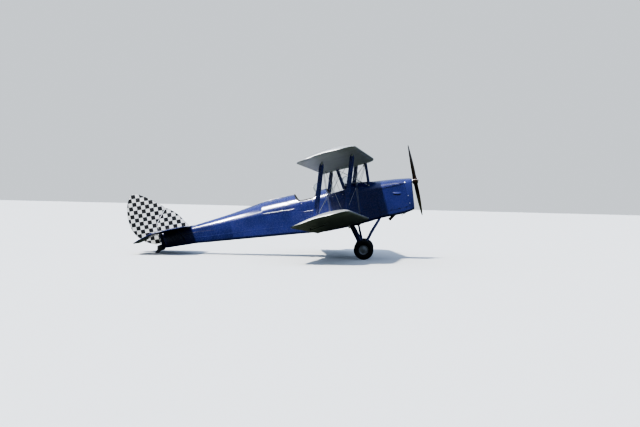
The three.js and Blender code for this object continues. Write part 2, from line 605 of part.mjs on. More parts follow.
// Landing gear: split axle with its radius rod, and a thick compression leg on each side
function axleAssembly(grown) {
  const member = (from, to, width, sides) => {
    const start = new THREE.Vector3(...from);
    const beyond = new THREE.Vector3(...to).sub(start).setLength(grown);
    return bar([...start.sub(beyond)], to, width + 2 * grown, width + 2 * grown, sides);
  };
  return joined([
    member([AXLE.x, 690, AXLE.z], [AXLE.x, AXLE.y + 4.6, AXLE.z], 40, 16),
    member([AXLE.x, 715, AXLE.z + 6], [AXLE.x, 48, -765], 42),
    member([AXLE.x - 12, 676, AXLE.z + 60], [-1040, 275, -725], 36),
  ]);
}
const belowBody = shifted(frontBody, 0, SEAT_GAP * 0.7, -SEAT_GAP);
const axle = axleAssembly(0).subtract(belowBody);
const leg = bar([-1765, 290, -730], [AXLE.x, 700, AXLE.z + 4], 112, 52, 14);
const legTrimmed = without(leg, [belowBody, axleAssembly(2 * SEAT_GAP)]);

// Wheel and tyre profiles, radius and distance outboard of the wheel's middle
const RIM_RADIUS = 118;
const WHEEL_PROFILE = [
  [0, 52], [26, 50], [34, 42], [70, 37], [84, 31], [106, 36], [RIM_RADIUS, 46], [RIM_RADIUS, -46],
  [106, -36], [64, -28], [40, -52], [20 + SEAT_GAP, -52], [20 + SEAT_GAP, 5], [0, 5],
];
const TYRE_STEPS = 12;
const WHEEL_SIDES = 36;
const tyreProfile = [];
const tyreInner = RIM_RADIUS + SEAT_GAP;
for (let i = 0; i <= TYRE_STEPS; i += 1) {
  const turn = (i / TYRE_STEPS) * 2 * Math.PI;
  const radius = (TYRE_RADIUS + tyreInner) / 2 + ((TYRE_RADIUS - tyreInner) / 2) * Math.cos(turn);
  tyreProfile.push([radius, (TYRE_WIDTH / 2) * Math.sin(turn)]);
}
function lathed(profile) {
  const points = profile.map(([radius, out]) => new THREE.Vector2(radius, out));
  return solid(new THREE.LatheGeometry(points, WHEEL_SIDES).translate(AXLE.x, AXLE.y, AXLE.z));
}
const wheel = lathed(WHEEL_PROFILE);
const tyre = lathed(tyreProfile);
bothSides.forEach(([side, toSide]) => {
  addNode(`axle_${side}`, toSide(axle), 'blue');
  addNode(`compression_leg_${side}`, toSide(legTrimmed), 'blue');
  addNode(`wheel_${side}`, toSide(wheel), 'silver');
  addNode(`tyre_${side}`, toSide(tyre), 'tyre');
});

// The nose-up angle at which tyres and skid shoe touch one ground line
const run = AXLE.x - SKID_SHOE.x;
const drop = SKID_SHOE.z - AXLE.z;
const PITCH = Math.atan2(drop, run) + Math.asin(TYRE_RADIUS / Math.hypot(run, drop));

// A flat piece drawn in side view, rounded at its edges
function upright(outline, thickness, edge) {
  const options = { depth: thickness - 2 * edge, curveSegments: 7 };
  const bevel = { bevelEnabled: true, bevelThickness: edge, bevelSize: edge, bevelOffset: -edge, bevelSegments: 2 };
  const plate = new THREE.ExtrudeGeometry(outline, { ...options, ...bevel });
  return solid(plate.rotateX(Math.PI / 2).translate(0, (thickness - 2 * edge) / 2, 0));
}

const soleZ = (x) => SKID_SHOE.z - (x - SKID_SHOE.x) * Math.tan(PITCH);
const skidOutline = new THREE.Shape([
  new THREE.Vector2(-6440, -270), new THREE.Vector2(-6500, -192), new THREE.Vector2(-6600, -192),
  new THREE.Vector2(-6655, -220), new THREE.Vector2(-6668, -300), new THREE.Vector2(-6735, soleZ(-6735) + 16),
  new THREE.Vector2(-6728, soleZ(-6728)), new THREE.Vector2(-6648, soleZ(-6648)),
  new THREE.Vector2(-6588, -345), new THREE.Vector2(-6480, -335),
]);
addNode('tail_skid', upright(skidOutline, 44, 4).subtract(shifted(rearWhole, -SEAT_GAP, 0, -SEAT_GAP)), 'steel');

// Tail surfaces
const HORN = { foot: [-6530, 345], head: [-6236, 680], gap: [-9, 8] };
const finOutline = new THREE.Shape();
finOutline.moveTo(STERN_X, 40);
finOutline.lineTo(...HORN.foot);
finOutline.lineTo(...HORN.head);
finOutline.quadraticCurveTo(-5985, 540, -5850, 268);
finOutline.quadraticCurveTo(-5805, 190, -5748, 128);
finOutline.lineTo(-5748, 40);
const finWhole = upright(finOutline, FIN_THICKNESS, 8);
const aboveTailplane = block(0, -6500, -30, 30, 0, TAILPLANE.z + TAILPLANE.thickness / 2 + SEAT_GAP);
const fin = without(finWhole, [aboveTailplane, shifted(rearFuselage, 0, 0, SEAT_GAP)]);
addNode('fin', fin, 'chequer');

const noseX = RUDDER_HINGE_X + 18;
const rudderOutline = new THREE.Shape();
rudderOutline.moveTo(noseX, -146);
rudderOutline.lineTo(noseX, HORN.foot[1] + HORN.gap[1]);
rudderOutline.lineTo(HORN.head[0] + HORN.gap[0], HORN.head[1] + HORN.gap[1]);
rudderOutline.bezierCurveTo(-6430, 885, -6760, 1150, -6930, 1186);
rudderOutline.quadraticCurveTo(-7062, 1206, -7112, 1080);
rudderOutline.bezierCurveTo(-7262, 850, -7258, 420, -7150, 225);
rudderOutline.bezierCurveTo(-7085, 80, -6880, -115, -6650, -166);
const rudderPin = bar([RUDDER_HINGE_X, 0, RUDDER_FOOT_Z + SEAT_GAP], [RUDDER_HINGE_X, 0, -120], 18);
addNode('rudder', upright(rudderOutline, FIN_THICKNESS, 12).add(rudderPin), 'chequer');

// A flat piece drawn in plan, rounded at its edges
function level(outline, thickness, edge, z) {
  const options = { depth: thickness - 2 * edge, curveSegments: 7 };
  const bevel = { bevelEnabled: true, bevelThickness: edge, bevelSize: edge, bevelOffset: -edge, bevelSegments: 2 };
  const plate = new THREE.ExtrudeGeometry(outline, { ...options, ...bevel });
  return solid(plate.translate(0, 0, z - (thickness - 2 * edge) / 2));
}

const planeOutline = new THREE.Shape();
planeOutline.moveTo(TAILPLANE.rear, -TAILPLANE.half);
planeOutline.lineTo(TAILPLANE.rear + 150, -TAILPLANE.half);
planeOutline.quadraticCurveTo(TAILPLANE.front - 60, -TAILPLANE.half + 20, TAILPLANE.front, -TAILPLANE.half + 620);
planeOutline.lineTo(TAILPLANE.front, TAILPLANE.half - 620);
planeOutline.quadraticCurveTo(TAILPLANE.front - 60, TAILPLANE.half - 20, TAILPLANE.rear + 150, TAILPLANE.half);
planeOutline.lineTo(TAILPLANE.rear, TAILPLANE.half);
addNode('tailplane', level(planeOutline, TAILPLANE.thickness, 12, TAILPLANE.z), 'blue');

const rearEdge = ELEVATOR.hingeX - ELEVATOR.chord;
const elevatorOutline = new THREE.Shape();
elevatorOutline.moveTo(ELEVATOR.hingeX, 72);
elevatorOutline.lineTo(ELEVATOR.hingeX, TAILPLANE.half);
elevatorOutline.lineTo(ELEVATOR.hingeX - 160, TAILPLANE.half);
elevatorOutline.quadraticCurveTo(rearEdge + 10, TAILPLANE.half - 20, rearEdge, TAILPLANE.half - 400);
elevatorOutline.lineTo(rearEdge, 400);
elevatorOutline.quadraticCurveTo(rearEdge + 5, 330, rearEdge + 60, 310);
elevatorOutline.lineTo(ELEVATOR.hingeX - 40, 72);
const acrossHinge = (inner, outer, radius) => (
  bar([ELEVATOR.hingeX, inner, TAILPLANE.z], [ELEVATOR.hingeX, outer, TAILPLANE.z], 2 * radius, 2 * radius, 16)
);
const elevatorNose = acrossHinge(72, TAILPLANE.half, ELEVATOR.noseRadius);
const elevator = level(elevatorOutline, 36, 10, TAILPLANE.z).add(elevatorNose);
const torqueTube = acrossHinge(-100, 100, ELEVATOR.tubeRadius);
const droop = new THREE.Matrix4().makeTranslation(ELEVATOR.hingeX, 0, TAILPLANE.z)
  .multiply(new THREE.Matrix4().makeRotationY(-ELEVATOR.droop))
  .multiply(new THREE.Matrix4().makeTranslation(-ELEVATOR.hingeX, 0, -TAILPLANE.z));
addNode('elevators', placed(joined([elevator, mirrored(elevator), torqueTube]), droop), 'blue');

// Parked: pitched nose up, tyres on the ground, the box's middle over the origin
aircraft.rotation.y = -PITCH;
aircraft.position.z = TYRE_RADIUS - AXLE.z * Math.cos(PITCH) - AXLE.x * Math.sin(PITCH);
aircraft.updateMatrixWorld(true);
aircraft.position.x = -new THREE.Box3().setFromObject(aircraft, true).getCenter(new THREE.Vector3()).x;

const group = new THREE.Group();
group.add(aircraft);
group.updateMatrixWorld(true);

export default group;
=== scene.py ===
# A parked two-seat biplane: its paint, fabric, wires and fittings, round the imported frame.
# Metres. Places are in the aircraft's datum: x forward from the propeller hub, y to port and
# z up from the thrust line. The datum is pitched nose up, because the tail stands on a skid.
import json
import math

import bmesh
import bpy
from mathutils import Matrix, Vector
from mathutils.bvhtree import BVHTree
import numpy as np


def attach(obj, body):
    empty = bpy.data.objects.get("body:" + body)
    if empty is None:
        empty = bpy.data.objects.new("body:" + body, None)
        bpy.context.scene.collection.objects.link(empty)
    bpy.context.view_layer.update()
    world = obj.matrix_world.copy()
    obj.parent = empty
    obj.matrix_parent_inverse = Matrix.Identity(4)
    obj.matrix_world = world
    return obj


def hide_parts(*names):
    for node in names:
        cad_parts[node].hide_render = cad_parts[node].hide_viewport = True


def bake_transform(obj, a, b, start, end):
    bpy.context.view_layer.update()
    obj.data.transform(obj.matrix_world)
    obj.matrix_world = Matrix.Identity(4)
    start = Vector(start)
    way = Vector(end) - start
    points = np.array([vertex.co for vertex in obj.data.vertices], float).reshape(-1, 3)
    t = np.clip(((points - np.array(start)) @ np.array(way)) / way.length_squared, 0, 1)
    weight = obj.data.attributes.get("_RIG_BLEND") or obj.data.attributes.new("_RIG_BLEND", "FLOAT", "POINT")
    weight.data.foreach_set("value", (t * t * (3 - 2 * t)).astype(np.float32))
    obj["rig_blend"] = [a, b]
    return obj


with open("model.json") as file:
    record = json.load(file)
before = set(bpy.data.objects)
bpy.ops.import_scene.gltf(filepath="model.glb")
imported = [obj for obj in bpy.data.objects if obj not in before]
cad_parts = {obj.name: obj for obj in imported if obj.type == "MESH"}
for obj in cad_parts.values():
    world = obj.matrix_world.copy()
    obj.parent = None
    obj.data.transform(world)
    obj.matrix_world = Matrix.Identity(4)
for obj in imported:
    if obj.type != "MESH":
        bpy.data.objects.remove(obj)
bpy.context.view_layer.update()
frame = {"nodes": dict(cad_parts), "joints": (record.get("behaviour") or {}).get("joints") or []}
spin = next(joint for joint in frame["joints"] if joint["name"] == "propeller_spin")
hub_point = Vector(spin["pos_m"])
nose_up = math.atan2(spin["axis"][2], spin["axis"][0])
PROPELLER_X = 0.022
DATUM = (
    Matrix.Translation(hub_point)
    @ Matrix.Rotation(-nose_up, 4, "Y")
    @ Matrix.Translation((-PROPELLER_X, 0, 0))
)
AIRFRAME = "airframe"
SIDES = {"left": 1, "right": -1}
UP = Vector((0, 0, 1))

# The stage: a pale floor far wider than the view, one high lamp on the camera's side of the
# tail and a pale sky all round. The lens looks level from starboard, a little ahead of the
# beam, and leans as the hand that held it did.
LENS_PX = 1200.1
PICTURE_PX = 640
STANDS = Vector((-1.033, -30.0, -0.638))  # from the propeller hub
TURN_LEFT, LOOK_UP, LEAN = (math.radians(angle) for angle in (2.516, -0.46, 1.376))

camera = bpy.data.objects.new("camera", bpy.data.cameras.new("camera"))
camera.data.lens = camera.data.sensor_width * LENS_PX / PICTURE_PX
camera.data.clip_end = 500
camera.matrix_world = (
    Matrix.Translation(hub_point + STANDS)
    @ Matrix.Rotation(TURN_LEFT, 4, "Z")
    @ Matrix.Rotation(math.radians(90) + LOOK_UP, 4, "X")
    @ Matrix.Rotation(LEAN, 4, "Z")
)
bpy.context.scene.collection.objects.link(camera)
bpy.context.scene.camera = camera
bpy.context.scene.view_settings.look = "AgX - High Contrast"

sun = bpy.data.objects.new("lamp", bpy.data.lights.new("lamp", "SUN"))
SUN_STRENGTH, SUN_WIDTH, SUN_COLOUR = 4.4, math.radians(2.5), (1.0, 0.965, 0.9)
SUN_FROM = Vector((-0.42, -0.80, 1.15))
sun.data.energy, sun.data.angle, sun.data.color = SUN_STRENGTH, SUN_WIDTH, SUN_COLOUR
sun.rotation_mode = "QUATERNION"
sun.rotation_quaternion = SUN_FROM.to_track_quat("Z", "Y")
bpy.context.scene.collection.objects.link(sun)


def node(material, kind, inputs, **options):
    """Adds one node to a material. An input is a value, or another node's output to join."""
    tree = material.node_tree
    made = tree.nodes.new("ShaderNode" + kind)
    for option, value in options.items():
        setattr(made, option, value)
    for socket, value in inputs.items():
        if isinstance(value, bpy.types.NodeSocket):
            tree.links.new(value, made.inputs[socket])
        else:
            made.inputs[socket].default_value = value
    return made


def math_of(material, operation, first, second=0.5, third=0.5):
    """The output of one Math node."""
    return node(material, "Math", {0: first, 1: second, 2: third}, operation=operation).outputs[0]


def finish(name, colour, roughness, **sockets):
    """A new material. Other sockets of its shader are named in words joined by a low line."""
    made = bpy.data.materials.new(name)
    made.use_nodes = True
    shader = made.node_tree.nodes["Principled BSDF"]
    shader.inputs["Base Color"].default_value = (*colour, 1)
    shader.inputs["Roughness"].default_value = roughness
    for words, value in sockets.items():
        socket = " ".join("IOR" if w == "ior" else w.capitalize() for w in words.split("_"))
        shader.inputs[socket].default_value = value
    made["shader"] = shader.name
    return made


def into(material, socket, output):
    """Joins an output to a socket of the material's shader."""
    shader = material.node_tree.nodes[material["shader"]]
    material.node_tree.links.new(output, shader.inputs[socket])


def datum_point(material):
    """Where the surface is, in the datum, so that patterns follow the aircraft's own lines."""
    place, turn, _ = DATUM.decompose()
    where = node(material, "TexCoord", {}).outputs["Object"]
    settings = {"Vector": where, "Location": place, "Rotation": turn.to_euler()}
    return node(material, "Mapping", settings, vector_type="TEXTURE").outputs[0]


def noise(material, point, scale, detail=3.0, roughness=0.55):
    """The height of a soft random pattern, from 0 to 1."""
    settings = {"Vector": point, "Scale": scale, "Detail": detail, "Roughness": roughness}
    return node(material, "TexNoise", settings).outputs["Fac"]


def ramp(material, factor, low, high, lowest=0.0, highest=1.0):
    """A factor that runs from lowest to highest between two heights of a pattern."""
    settings = {"Value": factor, "From Min": low, "From Max": high}
    settings |= {"To Min": lowest, "To Max": highest}
    return node(material, "MapRange", settings).outputs["Result"]


def blend_colours(material, factor, first, second):
    """A mix of two colours, each a value or an output."""
    made = node(material, "Mix", {}, data_type="RGBA")
    tree = material.node_tree
    for socket, value in ((made.inputs[6], first), (made.inputs[7], second)):
        if isinstance(value, bpy.types.NodeSocket):
            tree.links.new(value, socket)
        else:
            socket.default_value = (*value, 1)
    tree.links.new(factor, made.inputs[0])
    return made.outputs[2]


def bump(material, height, depth, below=None):
    """A relief of a real depth, over an earlier one where that is given."""
    settings = {"Height": height, "Distance": depth}
    if below is not None:
        settings["Normal"] = below
    return node(material, "Bump", settings).outputs[0]


# The lens sees a plain pale backdrop and floor. The aircraft is lit by a bright sky overhead, a
# dimmer horizon and a ground that gives back little.
BACKDROP = (0.62, 0.66, 0.70)
OVERHEAD, HORIZON = (0.58, 0.70, 0.95), (0.11, 0.12, 0.13)
GROUND_SEEN, GROUND_GIVES = (0.80, 0.81, 0.80), (0.050, 0.062, 0.042)


def seen_by_lens(material):
    """1 for the lens's own rays and those through a pane, 0 for the rest."""
    rays = node(material, "LightPath", {}).outputs
    return math_of(material, "MAXIMUM", rays["Is Camera Ray"], rays["Is Transmission Ray"])


sky = bpy.data.worlds.new("sky")
bpy.context.scene.world = sky
sky.use_nodes = True
upward = node(sky, "SeparateXYZ", {0: node(sky, "TexCoord", {}).outputs["Generated"]}).outputs["Z"]
glow = blend_colours(sky, ramp(sky, upward, 0.02, 0.75), HORIZON, OVERHEAD)
backdrop = blend_colours(sky, seen_by_lens(sky), glow, BACKDROP)
sky.node_tree.links.new(backdrop, sky.node_tree.nodes["Background"].inputs["Color"])

floor_paint = finish("floor_paint", GROUND_SEEN, 0.9, specular_ior_level=0.1)
into(floor_paint, "Base Color", blend_colours(
    floor_paint, seen_by_lens(floor_paint), GROUND_GIVES, GROUND_SEEN))
floor_mesh = bmesh.new()
bmesh.ops.create_circle(floor_mesh, cap_ends=True, segments=96, radius=400)
floor_data = bpy.data.meshes.new("floor")
floor_mesh.to_mesh(floor_data)
floor_mesh.free()
floor_data.materials.append(floor_paint)
floor = bpy.data.objects.new("floor", floor_data)
bpy.context.scene.collection.objects.link(floor)


# The body's metal and plywood: sheet cowls, ply decking, drop-down doors and panels, brushed
# with many coats of deep blue gloss enamel. Each is the frame's own solid with its triangles
# joined, its corners eased and its skin shaded round.
BLUE = (0.034, 0.044, 0.215)
BLUE_DEEP = (0.020, 0.028, 0.150)
GRIME = (0.030, 0.026, 0.022)
BRUSHED = 0.0008  # the depth of the brush marks, which run fore and aft
WEAVE_DEPTH = 0.0002


def weave_of(material, point):
    """The height of doped linen's crossed threads."""
    settings = {"Vector": point, "Scale": 190, "Distortion": 0.4}
    lines = [node(material, "TexWave", settings,
                  bands_direction=way).outputs["Fac"] for way in "XZ"]
    return math_of(material, "ADD", *lines)


def gloss_blue(name, weave):
    """Deep blue gloss, grimy below and fine-woven where it is doped fabric."""
    made = finish(name, BLUE, 0.30, coat_weight=0.85, coat_roughness=0.17, coat_ior=1.6)
    point = datum_point(made)
    cloudy = noise(made, point, 2.3, 5)
    fine = noise(made, point, 38, 4, 0.7)
    height = node(made, "SeparateXYZ", {0: point}).outputs["Z"]
    paint = blend_colours(made, ramp(made, cloudy, 0.35, 0.68), BLUE_DEEP, BLUE)
    low = ramp(made, height, -0.42, -0.80)
    dirty = math_of(made, "MULTIPLY", low, ramp(made, fine, 0.45, 0.75, 0.0, 0.7))
    into(made, "Base Color", blend_colours(made, dirty, paint, GRIME))
    into(made, "Roughness", ramp(made, math_of(made, "ADD", fine, dirty), 0.3, 1.3, 0.17, 0.62))
    relief = bump(made, noise(made, point, 5.5, 2), 0.0024)
    drawn_out = node(made, "Mapping", {"Vector": point, "Scale": (3, 70, 70)}).outputs[0]
    strokes = noise(made, drawn_out, 1.0, 2, 0.5)
    into(made, "Coat Normal", bump(made, strokes, BRUSHED))
    if weave:
        relief = bump(made, weave_of(made, point), WEAVE_DEPTH, relief)
    else:
        relief = bump(made, noise(made, point, 260, 2), 0.00015, relief)
    into(made, "Normal", relief)
    return made


blue_enamel = gloss_blue("blue_enamel", False)
blue_dope = gloss_blue("blue_dope", True)


def copied(name, angle=0.6):
    """A node's own solid in the datum, its triangles joined into whole faces."""
    bm = bmesh.new()
    bm.from_mesh(frame["nodes"][name].data)
    bmesh.ops.transform(bm, matrix=DATUM.inverted(), verts=bm.verts)
    bmesh.ops.remove_doubles(bm, verts=bm.verts, dist=3e-5)
    bmesh.ops.dissolve_limit(
        bm, angle_limit=math.radians(angle), verts=bm.verts[:], edges=bm.edges[:]
    )
    return bm


def placed(bm, name, material):
    """Makes a shape drawn in the datum into a smooth object at the origin."""
    bmesh.ops.transform(bm, matrix=DATUM, verts=bm.verts)
    mesh = bpy.data.meshes.new(name)
    bm.to_mesh(mesh)
    bm.free()
    mesh.shade_smooth()
    mesh.materials.append(material)
    made = bpy.data.objects.new(name, mesh)
    bpy.context.scene.collection.objects.link(made)
    return made


def piece(bm, name, body, material, slot, replaces=(), smooth=32, rim=0.0):
    """Makes a shape drawn in the datum into an object that rides on a body."""
    made = placed(bm, name, material)
    made.data.set_sharp_from_angle(angle=math.radians(smooth))
    if rim:
        ease = made.modifiers.new("rim", "BEVEL")
        ease.width = rim
        ease.segments = 2
        ease.limit_method = "ANGLE"
        ease.angle_limit = math.radians(40)
        ease.harden_normals = True
    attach(made, body)
    if replaces:
        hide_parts(*replaces)
    return made


def skin(bm, rings, caps=True, loop=False):
    """Joins rings of equal count into a surface, closed at its ends or round on itself."""
    made = [[bm.verts.new(point) for point in ring] for ring in rings]
    pairs = list(zip(made, made[1:] + made[:1] if loop else made[1:]))
    for near, far in pairs:
        for i in range(len(near)):
            j = (i + 1) % len(near)
            bm.faces.new((near[i], near[j], far[j], far[i]))
    if caps and not loop:
        bm.faces.new(made[0][::-1])
        bm.faces.new(made[-1])


def turns(count, start=0.0):
    """Angles that share a full turn equally."""
    return [start + 2 * math.pi * i / count for i in range(count)]


def evenly(start, run, count):
    """Values in equal steps over a run, both ends among them."""
    return [start + run * i / count for i in range(count + 1)]


def heading(points, i):
    """The way a path runs at one of its points."""
    return (points[min(i + 1, len(points) - 1)] - points[max(i - 1, 0)]).normalized()


def rod(bm, points, radius, sides=10, flat=1.0, fore=(1, 0, 0)):
    """A tube through points. Its long axis looks fore, and flat thins it the other way."""
    points = [Vector(point) for point in points]
    rings = []
    for i, point in enumerate(points):
        along = heading(points, i)
        ahead = Vector(fore)
        if abs(ahead.dot(along)) > 0.9:
            ahead = UP
        ahead = (ahead - along * ahead.dot(along)).normalized()
        across = along.cross(ahead)
        size = radius[i] if isinstance(radius, (list, tuple)) else radius
        rings.append([
            point + (ahead * math.cos(t) + across * math.sin(t) * flat) * size
            for t in turns(sides)
        ])
    skin(bm, rings)


def slab(bm, centre, size, turn=None, bevel=0.0):
    """A block with eased edges."""
    matrix = Matrix.Translation(centre) @ (turn or Matrix()) @ Matrix.Diagonal((*size, 1))
    made = bmesh.ops.create_cube(bm, size=1, matrix=matrix)["verts"]
    if bevel:
        edges = list(dict.fromkeys(edge for vert in made for edge in vert.link_edges))
        bmesh.ops.bevel(bm, geom=edges, offset=bevel, segments=2, profile=0.5,
                        affect="EDGES", material=-1)


def bezier(start, middle, end, count):
    """Points on a curve pulled towards its middle point."""
    points = []
    for i in range(count + 1):
        t = i / count
        points.append(tuple(
            (1 - t) ** 2 * p + 2 * t * (1 - t) * q + t * t * r
            for p, q, r in zip(start, middle, end)
        ))
    return points


def closed_piece(bm, *told, **kept):
    """Turns a drawn shape's faces outward, then makes it a piece."""
    bmesh.ops.recalc_face_normals(bm, faces=bm.faces)
    return piece(bm, *told, **kept)


def turned_to(way):
    """The turn that stands something's upward axis along a way."""
    return UP.rotation_difference(Vector(way)).to_matrix().to_4x4()


def mirrored(points, side):
    """The same points on one side or the other."""
    return [Vector((x, y * side, z)) for x, y, z in points]


def repaint(made, material, chosen):
    """Gives some faces of a finished piece another finish. chosen is asked in the datum."""
    made.data.materials.append(material)
    to_datum = DATUM.inverted()
    turn = to_datum.to_3x3()
    for polygon in made.data.polygons:
        if chosen(to_datum @ polygon.center, turn @ polygon.normal):
            polygon.material_index = len(made.data.materials) - 1


cockpit_green = finish("cockpit_green", (0.135, 0.175, 0.118), 0.55)
FUSELAGE = ("front_decking", "centre_decking", "rear_decking", "top_cowl", "lower_cowl",
            "nose_cowl", "belly_panel", "rear_fuselage", "front_side_panel_left",
            "front_side_panel_right", "side_cowl_left", "side_cowl_right", "front_door_left",
            "front_door_right", "rear_door_left", "rear_door_right", "locker_lid")


def inside(centre, normal):
    """Whether a face looks in at the middle of the body."""
    return normal.dot(Vector((0, -centre.y, -0.25 - centre.z)).normalized()) > 0.35


def joined_tree(names):
    """The named nodes' surface in the datum, to find points on it."""
    bm = bmesh.new()
    for name in names:
        bm.from_mesh(frame["nodes"][name].data)
    bmesh.ops.transform(bm, matrix=DATUM.inverted(), verts=bm.verts)
    tree = BVHTree.FromBMesh(bm)
    bm.free()
    return tree


body_tree = joined_tree(FUSELAGE)


def on_side(x, z, side, proud=0.0):
    """A point on the body's side, seen from outside, and the way it faces."""
    place, normal, _, _ = body_tree.ray_cast(Vector((x, 2 * side, z)), Vector((0, -side, 0)))
    return (place + normal * proud, normal) if place else (None, None)


def on_deck(x, y, proud=0.0):
    """A point on the body's top and the way it faces."""
    place, normal, _, _ = body_tree.ray_cast(Vector((x, y, 2)), Vector((0, 0, -1)))
    return (place + normal * proud, normal) if place else (None, None)


SHEET_RIM = 0.0005
for name in FUSELAGE:
    doped = name.startswith(("rear_fuselage", "front_side_panel"))
    finish_name, paint = ("blue_dope", blue_dope) if doped else ("blue_enamel", blue_enamel)
    moves = name.startswith(("side_cowl", "front_door", "rear_door", "locker_lid"))
    made = piece(copied(name), name + "_skin", name if moves else AIRFRAME, paint, finish_name,
                 [name], rim=SHEET_RIM)
    repaint(made, cockpit_green, inside)

# A soft box high on the camera's side is what gleams white along the gloss shoulder of the
# rear decking. It shines back from gloss only, and is placed where the lens finds it there.
GLEAM = ((-4.40, 0.085), (-3.20, 0.085))
GLEAM_LOW, GLEAM_HIGH = 0.004, 0.058
BOX_AWAY, BOX_RADIANCE, BOX_LONGER = 25.0, 34.0, 2.0
eye = camera.matrix_world.translation
corners = []
for x, z in GLEAM:
    for rise in (GLEAM_LOW, GLEAM_HIGH):
        place, normal = on_side(x, z + rise, -1)
        place, normal = DATUM @ place, (DATUM.to_3x3() @ normal).normalized()
        seen_along = (place - eye).normalized()
        corners.append(place + seen_along.reflect(normal) * BOX_AWAY)
centre = sum(corners, Vector()) / 4
along = ((corners[2] + corners[3]) - (corners[0] + corners[1])) / 2
upward_edge = ((corners[1] + corners[3]) - (corners[0] + corners[2])) / 2
box = bpy.data.objects.new("soft_box", bpy.data.lights.new("soft_box", "AREA"))
box.data.shape = "RECTANGLE"
box.data.size, box.data.size_y = along.length * BOX_LONGER, upward_edge.length
box.data.energy = BOX_RADIANCE * math.pi * box.data.size * box.data.size_y
box.visible_diffuse = box.visible_camera = box.visible_transmission = False
facing = (centre - DATUM @ Vector((-3.8, -0.25, 0.085))).normalized()
across = (along - facing * along.dot(facing)).normalized()
box_turn = Matrix((across, facing.cross(across), facing)).transposed().to_4x4()
box.matrix_world = Matrix.Translation(centre) @ box_turn
bpy.context.scene.collection.objects.link(box)

piece(copied("firewall"), "firewall_skin", AIRFRAME, blue_enamel, "blue_enamel", ["firewall"])
piece(copied("oil_tank"), "oil_tank_skin", AIRFRAME, blue_enamel, "blue_enamel", ["oil_tank"],
      rim=0.006)


# The wings: spruce spars and ribs under doped linen, which sags a little between the ribs and
# scallops the wire trailing edge. Tapes cover the stitching over each rib.
CHORD = 1.33
SPAR_SHARE = 0.15
SECTION_THICKNESS = 0.115
SECTION_CAMBER = 0.035
SWEEP = math.tan(math.radians(5.4))
INCIDENCE = math.radians(4)
UPPER = {"x": -1.070, "z": 0.735, "root": 0.310, "rise": math.tan(math.radians(3))}
LOWER = {"x": -1.500, "z": -0.680, "root": 0.340, "rise": math.tan(math.radians(4.3))}
TIP_Y, TIP_LENGTH, TIP_ROUND = 4.47, 0.56, 0.05
SPAR_SPACING = 0.715
STRUT_Y = 3.150
RIB_GAP = 0.29
SAG = 0.0035
SCALLOP = 0.010
SECTION_POINTS = 22


def wing_point(wing, y, back, sign, lift=0.0):
    """A point on a wing's skin: back is the share of the chord, sign 1 above and -1 below."""
    share = min(max((y - TIP_Y + TIP_LENGTH) / TIP_LENGTH, 0), 1)
    bend = 1 - (1 - share**3) ** (1 / 3)
    chord = CHORD * (1 - 0.63 * bend)
    closing = min(max((y - TIP_Y + TIP_ROUND) / TIP_ROUND, 0), 1)
    profile = (0.2969 * math.sqrt(back) - 0.126 * back - 0.3516 * back**2
               + 0.2843 * back**3 - 0.1036 * back**4)
    left = 1 - 0.80 * share**1.7
    half = 5 * SECTION_THICKNESS * profile * left * math.sqrt(max(1 - closing**2, 0))
    bay = ((y - wing["root"]) / RIB_GAP) % 1
    slack = math.sin(math.pi * bay) ** 2 * (1 - share)
    z = chord * (4 * SECTION_CAMBER * back * (1 - back) + sign * half)
    z += sign * (lift - SAG * slack * math.sin(math.pi * min(back * 1.15, 1)))
    x = CHORD * (SPAR_SHARE - 0.36 * bend) - chord * back
    x += SCALLOP * slack * max(back - 0.9, 0) * 10
    cos, sin = math.cos(INCIDENCE), math.sin(INCIDENCE)
    x, z = x * cos - z * sin, x * sin + z * cos
    x += wing["x"] + (wing["root"] - y) * SWEEP
    return Vector((x, y, wing["z"] + (y - wing["root"]) * wing["rise"] + z))


def chord_steps(count):
    """Shares of the chord from the trailing edge to the nose, closest at the two ends."""
    return [(1 + math.cos(math.pi * i / count)) / 2 for i in range(count + 1)]


def section(point_at):
    """A whole section, from the trailing edge over the top and back below."""
    shares = chord_steps(SECTION_POINTS)
    return [point_at(b, 1) for b in shares] + [point_at(b, -1) for b in shares[-2:0:-1]]


def spans(inner, outer):
    """Places along the span, six in a bay and closer together where the tip rounds off."""
    places = [inner]
    while places[-1] < outer - 1e-6:
        step = RIB_GAP / 6 if places[-1] < TIP_Y - 0.2 else (TIP_Y - places[-1]) * 0.25 + 0.001
        places.append(min(places[-1] + step, outer))
    return places


def rib_places(wing, inner, outer):
    """Where the ribs stand between two places."""
    count = int((outer - wing["root"]) / RIB_GAP)
    ribs = [wing["root"] + RIB_GAP * i for i in range(count + 1)]
    return [y for y in ribs if inner + 0.01 < y < outer - 0.15]


def add_tapes(bm, wing, ribs, front=0.0, rear=0.985, half=0.019):
    """Doped tapes over the ribs, above and below."""
    for y in ribs:
        shares = [front + (rear - front) * (1 - math.cos(math.pi * i / 28)) / 2 for i in range(29)]
        for sign in (1, -1):
            edges = [
                [bm.verts.new(wing_point(wing, y + w, b, sign, 0.0009)) for b in shares]
                for w in (-half, half)
            ]
            for i in range(28):
                bm.faces.new((edges[0][i], edges[0][i + 1], edges[1][i + 1], edges[1][i]))


def to_side(bm, sign):
    """Mirrors a shape that was drawn to port."""
    bmesh.ops.scale(bm, vec=(1, sign, 1), verts=bm.verts)


